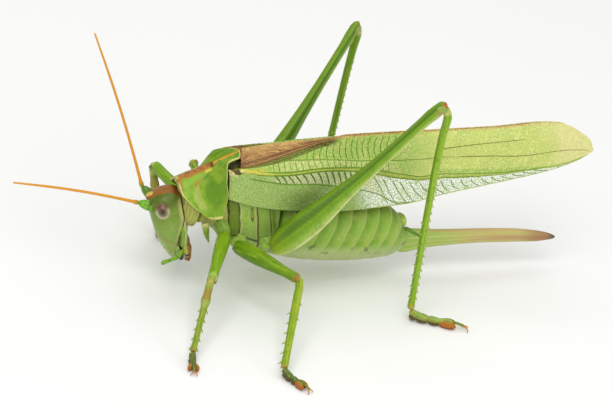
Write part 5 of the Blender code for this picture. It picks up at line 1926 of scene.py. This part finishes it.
KNEE_FINISHES = {
    Pair.HIND: LimbFinish("hind_knee_skin", (150, 182, 84), (146, 170, 76), (170, 150, 80), roughness=0.34),
    Pair.MID: LimbFinish("mid_knee_skin", (180, 130, 56), (166, 124, 48), (140, 120, 44), roughness=0.34),
    Pair.FRONT: LimbFinish("front_knee_skin", (170, 184, 110), (120, 120, 44), (100, 90, 34), roughness=0.34),
}
FOOT_FINISHES = {
    Pair.HIND: LimbFinish(
        "hind_foot_skin", (150, 180, 84), (140, 156, 64), (110, 80, 34),
        (Ring(-0.3, 0.1, 0.1, (176, 160, 50)),),
    ),
    Pair.MID: LimbFinish(
        "mid_foot_skin", (92, 120, 50), (84, 84, 36), (84, 54, 24), (Ring(-0.3, 0.08, 0.08, (150, 140, 50)),)
    ),
    Pair.FRONT: LimbFinish(
        "front_foot_skin", (96, 106, 46), (84, 76, 32), (84, 54, 24),
        (Ring(-0.3, 0.08, 0.08, (150, 140, 50)),),
    ),
}
LOBES = {Pair.HIND: (0.30, 0.155, 0.5), Pair.MID: (0.32, 0.18, 0.4), Pair.FRONT: (0.42, 0.14, 1.0)}
CLAW_JOINT = LimbFinish("claw_joint_skin", (126, 140, 44), (130, 130, 40), (150, 92, 34))
FOOT_SOLE = LimbFinish("foot_sole", (110, 80, 34), (92, 60, 24), (80, 50, 20), roughness=0.5)
FOOT_LOBE = LimbFinish(
    "foot_lobe", (168, 126, 40), (178, 104, 30), (130, 68, 22), spots=(104, 60, 20), light=(206, 140, 50),
    roughness=0.45,
)
CLAW_FINISH = HornFinish("claw_horn", (196, 130, 44), (104, 58, 24), 0.6, 0.95)
SPINE_FINISH = HornFinish("spine_horn", (168, 186, 70), (128, 92, 40), 0.55, 0.95)


# Share of the foot's length, height and half width along each of its three green joints.
FOOT_JOINTS = (
    ((0.00, 1.15, 0.40), (0.10, 0.84, 0.44), (0.24, 0.66, 0.46), (0.34, 0.60, 0.34)),
    ((0.32, 0.62, 0.32), (0.42, 0.60, 0.42), (0.53, 0.58, 0.32)),
    ((0.50, 0.60, 0.30), (0.62, 0.62, 0.40), (0.76, 0.66, 0.32)),
)
# Share of the foot's length, reach, half width and height of each sole.
SOLES = ((0.07, 0.07, 0.36, 0.46), (0.23, 0.11, 0.50, 0.38), (0.44, 0.10, 0.48, 0.33))
# Share of the foot's length, distance aside and height along a claw.
CLAW = ((0.94, 0.06, 0.52), (1.00, 0.20, 0.46), (1.04, 0.36, 0.28), (1.035, 0.44, 0.06))


@dataclass
class Leg(SubAssembly):
    """One leg from the hip to the claws."""

    pair: Pair = Pair.HIND
    side: Side = Side.LEFT

    def __post_init__(self) -> None:
        """Reads the leg's places and works out its directions."""
        self.root, self.knee, self.head, self.ankle, self.tip = (
            np.array(place, float) for place in LEG_PLACES[self.pair, self.side]
        )
        self.down = unit(self.ankle - self.head)
        across = np.cross(self.knee - self.root, self.ankle - self.head)
        self.out = unit(across) * -self.side.value
        back = self.root - self.knee
        self.inside = unit(back - self.down * (back @ self.down))
        self.tag = f"{self.pair.value}_{self.side.word}"

    def node(self, part: str) -> str:
        """The CAD node's name for a part of this leg."""
        return f"{self.pair.value}_{part}_{self.side.word}"

    def build_hip(self) -> None:
        """The stout first joint."""
        root, tip, radius = HIPS[self.pair]
        mirror = np.array((1, -self.side.value, 1))
        root, tip = np.array(root) * mirror, np.array(tip) * mirror
        sizes = [(share, radius * part) for share, part in HIP_SHAPE]
        hip = Tube(straight([root, (root + tip) / 2, tip]), sizes, (1, 0, 0), self.out, ends=(0.1, 0.2))
        self.keep(hip.build(f"hip_{self.tag}", 28, 36), HIP_FINISH, "leg_skin", self.node("coxa"))
        if self.pair is Pair.FRONT:
            line = straight([np.array(place) * mirror for place in COXAL_SPIKE])
            spike = Tube(line, ((0, 0.50, 0.42), (0.35, 0.42, 0.34), (1, 0.08, 0.08)), (1, 0, 0), self.out)
            self.keep(spike.build(f"hip_spike_{self.side.word}", 16, 30), SPIKE_FINISH, "leg_skin")

    def build_thigh(self) -> None:
        """The femur, with its scales on the jumping leg."""
        shape = THIGHS[self.pair]
        last = shape[-1][0]
        hind = self.pair is Pair.HIND
        drops = along(THIGH_SAG if hind else ((0, 0), (1, 0)), np.array([row[0] for row in shape]))
        line = [
            (row[0] / last, tuple(self.root + (self.knee - self.root) * row[0] + self.down * drop))
            for row, drop in zip(shape, drops * (1.0 if self.side is Side.LEFT else 0.2))
        ]
        sizes = [(row[0] / last, row[1], row[2]) for row in shape]
        tube = Tube(
            line, sizes, self.out, -self.down, 2.2 if hind else 2.1,
            (0.015, 0.02), self.scales if hind else None,
        )
        thigh = tube.build(f"thigh_{self.tag}", 56 if hind else 36, 260 if hind else 90)
        finish = {Pair.HIND: ThighFinish(), Pair.MID: MID_THIGH, Pair.FRONT: FRONT_THIGH}[self.pair]
        self.keep(thigh, finish, "leg_skin", self.node("femur"))

    @staticmethod
    def scales(lie: np.ndarray) -> np.ndarray:
        """Slanting rows and the long ridges of the jumping thigh."""
        share, up = lie[:, 1], lie[:, 2]
        field = np.clip((0.66 - share) / 0.08, 0, 1) * np.clip(share / 0.05, 0, 1)
        wave = np.sin(share * THIGH_LENGTH * SCALE_WAVE + np.abs(up - SCALE_RIDGE) * SCALE_WAVE)
        keel = bell(up, -0.7, 0.09) + bell(up, 0.88, 0.06)
        rows = 0.003 * wave * field * (np.abs(up) < 0.8)
        return rows + 0.07 * keel * (share < 0.92) - 0.04 * bell(up, SCALE_RIDGE, 0.06) * field

    def build_shin(self) -> None:
        """The tibia and its spines."""
        ahead = unit(self.knee - self.root)
        size = SHINS[self.pair][1][1]
        bend = [self.knee - ahead * 0.5, self.knee + ahead * size * 0.1 + (self.head - self.knee) * 0.2]
        line = straight(bend + [self.shin_place(share) for share in np.linspace(0.02, 1, 13)])
        start = line[2][0] - 0.02 * (1 - line[2][0])
        sizes = [(0, size * 0.7, size * 0.7), (line[1][0], size * 0.95, size * 0.95)]
        sizes += [(start + (1 - start) * share, radius, radius) for share, radius in SHINS[self.pair][1:]]
        hind = self.pair is Pair.HIND
        tube = Tube(line, sizes, self.out, -self.inside, 2.5 if hind else 2.2, (0.012, 0.01))
        shin = tube.build(f"shin_{self.tag}", 24, 120)
        finish = {Pair.HIND: HIND_SHIN, Pair.MID: MID_SHIN, Pair.FRONT: FRONT_SHIN}[self.pair]
        self.keep(shin, finish, "leg_skin", self.node("tibia"))
        self.build_knee()
        spines = []
        for start, end, count, length, turns in SPINE_ROWS[self.pair]:
            for i in range(count):
                share = start + (end - start) * i / (count - 1)
                radius = float(along(SHINS[self.pair], np.array([share]))[0])
                for turn in turns:
                    angle = math.radians(turn)
                    radial = self.inside * math.cos(angle) + self.out * math.sin(angle)
                    foot = self.shin_place(share) + radial * (radius * 0.7)
                    lean = math.radians(42)
                    spine = radial * math.cos(lean) + self.down * math.sin(lean)
                    spines.append(self.spine(foot, spine, length + radius * 0.3))
        self.keep(Bench.joined(f"spines_{self.tag}", spines), SPINE_FINISH, "leg_skin")

    def build_knee(self) -> None:
        """The two lobes of the thigh's end that clasp the shin's head."""
        size = KNEE_SIZES[self.pair]
        ahead = unit(self.knee - self.root)
        along_lobe = unit(ahead * 0.7 + self.down * 0.5)
        across = unit(np.cross(self.out, along_lobe))
        lobes = []
        for way in (1, -1):
            centre = self.knee + self.down * size * 0.35 + self.out * (way * 0.48)
            lobes.append(
                ball(
                    "lobe", centre, np.array([along_lobe, self.out, across]), (size, 0.18, size * 0.75), 14,
                    22,
                )
            )
        self.keep(Bench.joined(f"knee_{self.tag}", lobes), KNEE_FINISHES[self.pair], "leg_skin")

    def spine(self, foot: np.ndarray, direction: np.ndarray, length: float) -> Piece:
        """One curved, tapering spine."""
        middle = foot + direction * length * 0.55 - self.down * 0.03
        tip = foot + direction * length + self.down * 0.06
        line = straight([foot, middle, tip])
        sizes = ((0, 0.16, 0.16), (0.5, 0.09, 0.09), (1, 0.02, 0.02))
        side = unit(np.cross(direction, self.down))
        return Tube(line, sizes, side, -self.down, cap_rows=1).build("spine", 6, 6)

    def shin_place(self, share: float) -> np.ndarray:
        """A point on the shin's middle line."""
        bend = SHIN_BOWS[self.pair] * math.sin(math.pi * share ** 0.5)
        return self.head + (self.ankle - self.head) * share + self.inside * bend

    def build_foot(self) -> None:
        """The foot: short joints over pads that stand on the floor, two lobes, a claw joint and claws."""
        size = FOOT_SIZES[self.pair]
        start = np.array((self.ankle[0], self.ankle[1], 0.0))
        ahead = np.array((self.tip[0], self.tip[1], 0.0)) - start
        length = float(np.linalg.norm(ahead))
        ahead = ahead / length
        across = np.cross(UP, ahead)
        axes = np.array([ahead, across, UP])

        def place(share: float, aside: float, height: float) -> np.ndarray:
            """A point of the foot."""
            return start + ahead * (length * share) + across * (aside * size) + np.array(UP) * (height * size)

        greens = []
        for rows in FOOT_JOINTS:
            line = straight([place(share, 0, height) for share, height, _ in rows])
            sizes = [(key[0], row[2] * size, row[2] * size * 0.9) for key, row in zip(line, rows)]
            greens.append(Tube(line, sizes, across, UP, ends=(0.1, 0.1)).build("joint", 18, 24))
        self.keep(
            Bench.joined(f"foot_{self.tag}", greens), FOOT_FINISHES[self.pair], "foot_skin",
            self.node("tarsus"),
        )
        claw_joint = Tube(
            straight([place(*row) for row in ((0.64, 0, 0.66), (0.80, 0, 0.74), (0.97, 0, 0.52))]),
            ((0, 0.15 * size, 0.15 * size), (0.6, 0.15 * size, 0.15 * size), (1, 0.19 * size, 0.18 * size)),
            across, UP, ends=(0.06, 0.08),
        ).build(f"claw_joint_{self.tag}", 16, 24)
        self.keep(claw_joint, CLAW_JOINT, "foot_skin")
        soles = []
        for share, reach, width, height in SOLES:
            radii = (reach * length, width * size, 0.32 * size)
            soles.append(ball("sole", place(share, 0, height), axes, radii, 14, 20, True))
        self.keep(Bench.joined(f"soles_{self.tag}", soles), FOOT_SOLE, "foot_skin")
        lobes = []
        spread, reach, skew = LOBES[self.pair]
        for aside in (spread, -spread):
            centre = place(0.67, aside, 0.46)
            turned = np.array(
                [unit(ahead + across * aside * skew), unit(across - ahead * aside * skew), np.array(UP)]
            )
            lobes.append(
                ball("lobe", centre, turned, (reach * length, 0.28 * size, 0.48 * size), 14, 20, True)
            )
        self.keep(Bench.joined(f"lobes_{self.tag}", lobes), FOOT_LOBE, "foot_skin")
        claws = []
        for turn in (-1, 1):
            line = straight([place(share, aside * turn, height) for share, aside, height in CLAW])
            sizes = ((0, 0.10 * size, 0.10 * size), (0.5, 0.07 * size, 0.07 * size), (1, 0.03, 0.03))
            claws.append(Tube(line, sizes, across, UP, ends=(0.05, 0.03)).build("claw", 10, 20))
        self.keep(Bench.joined(f"claws_{self.tag}", claws), CLAW_FINISH, "foot_skin")

    def build(self) -> None:
        """Makes the leg from the body outwards."""
        self.build_hip()
        self.build_thigh()
        self.build_shin()
        self.build_foot()


@dataclass
class Studio:
    """Camera, pale floor and soft lights."""

    target: tuple[float, float, float] = (18.37, -0.09, 11.2)
    turn: float = -31.16
    lift: float = 26.95
    roll: float = 12.96
    distance: float = 380.6
    lens: float = 173.28
    paper: Tint = (250, 250, 248)
    fleck: Tint = (244, 245, 243)

    def build_camera(self) -> None:
        """Puts the camera at the photograph's viewing angle."""
        a, e, r = (math.radians(value) for value in (self.turn, self.lift, self.roll))
        back = np.array((math.sin(a) * math.cos(e), -math.cos(a) * math.cos(e), math.sin(e)))
        right = np.array((math.cos(a), math.sin(a), 0.0))
        up = np.cross(back, right)
        tilted = right * math.cos(r) + up * math.sin(r)
        upright = up * math.cos(r) - right * math.sin(r)
        eye = (np.array(self.target) + back * self.distance - ORIGIN) * MM
        camera = bpy.data.objects.new("camera", bpy.data.cameras.new("camera"))
        bpy.context.scene.collection.objects.link(camera)
        camera.data.lens = self.lens
        camera.data.sensor_width = 36.0
        camera.data.sensor_fit = "HORIZONTAL"
        camera.data.clip_start = 0.01
        axes = np.array([tilted, upright, back]).T
        camera.matrix_world = Matrix.Translation(Vector(eye)) @ Matrix(axes.tolist()).to_4x4()
        bpy.context.scene.camera = camera

    def build_floor(self) -> None:
        """A wide pale floor."""
        Bench.clear()
        bpy.ops.mesh.primitive_plane_add(size=6.0, location=(0, 0, -0.00002))
        floor = bpy.context.object
        floor.name = "floor"
        palette = Palette("floor_paper", self.paper)
        palette.lay(palette.noise(30.0, 2.0) * 0.15, self.fleck)
        floor.data.materials.append(palette.close(0.8))

    def build_light(self, name: str, place: Sequence[float], size: float, power: float) -> None:
        """A square soft light that looks at the animal."""
        light = bpy.data.lights.new(name, "AREA")
        light.shape = "SQUARE"
        light.size = size
        light.energy = power
        obj = bpy.data.objects.new(name, light)
        bpy.context.scene.collection.objects.link(obj)
        away = Vector(place) - Vector((0.0, 0.0, 0.012))
        obj.matrix_world = Matrix.Translation(
            Vector(place)
        ) @ away.to_track_quat("Z", "Y").to_matrix().to_4x4()

    def build(self) -> None:
        """Sets the whole studio up."""
        self.build_camera()
        self.build_floor()
        self.build_light("key", (-0.30, -0.35, 0.65), 0.55, 3.4)
        self.build_light("fill", (0.40, -0.55, 0.30), 0.50, 1.0)
        self.build_light("top", (0.05, 0.25, 0.75), 0.60, 1.5)
        world = bpy.data.worlds.new("studio")
        world.use_nodes = True
        world.node_tree.nodes["Background"].inputs["Color"].default_value = (1, 1, 1, 1)
        world.node_tree.nodes["Background"].inputs["Strength"].default_value = 0.42
        bpy.context.scene.world = world
        bpy.context.scene.view_settings.view_transform = "Standard"


def main() -> None:
    """Builds the studio and the animal, logging each piece's face count as it is dressed."""
    logging.basicConfig(level=logging.INFO, format="%(name)s: %(message)s")
    Studio().build()
    finishes: dict[str, Material] = {}
    parts: list[SubAssembly] = [
        Head(finishes), Mouth(finishes), Feelers(finishes), Saddle(finishes), Trunk(finishes)
    ]
    parts += [Wing(finishes, side) for side in Side]
    parts += [Leg(finishes, pair, side) for pair in Pair for side in Side]
    for part in parts:
        part.build()
        part.dress()


if __name__ == "__main__":
    main()
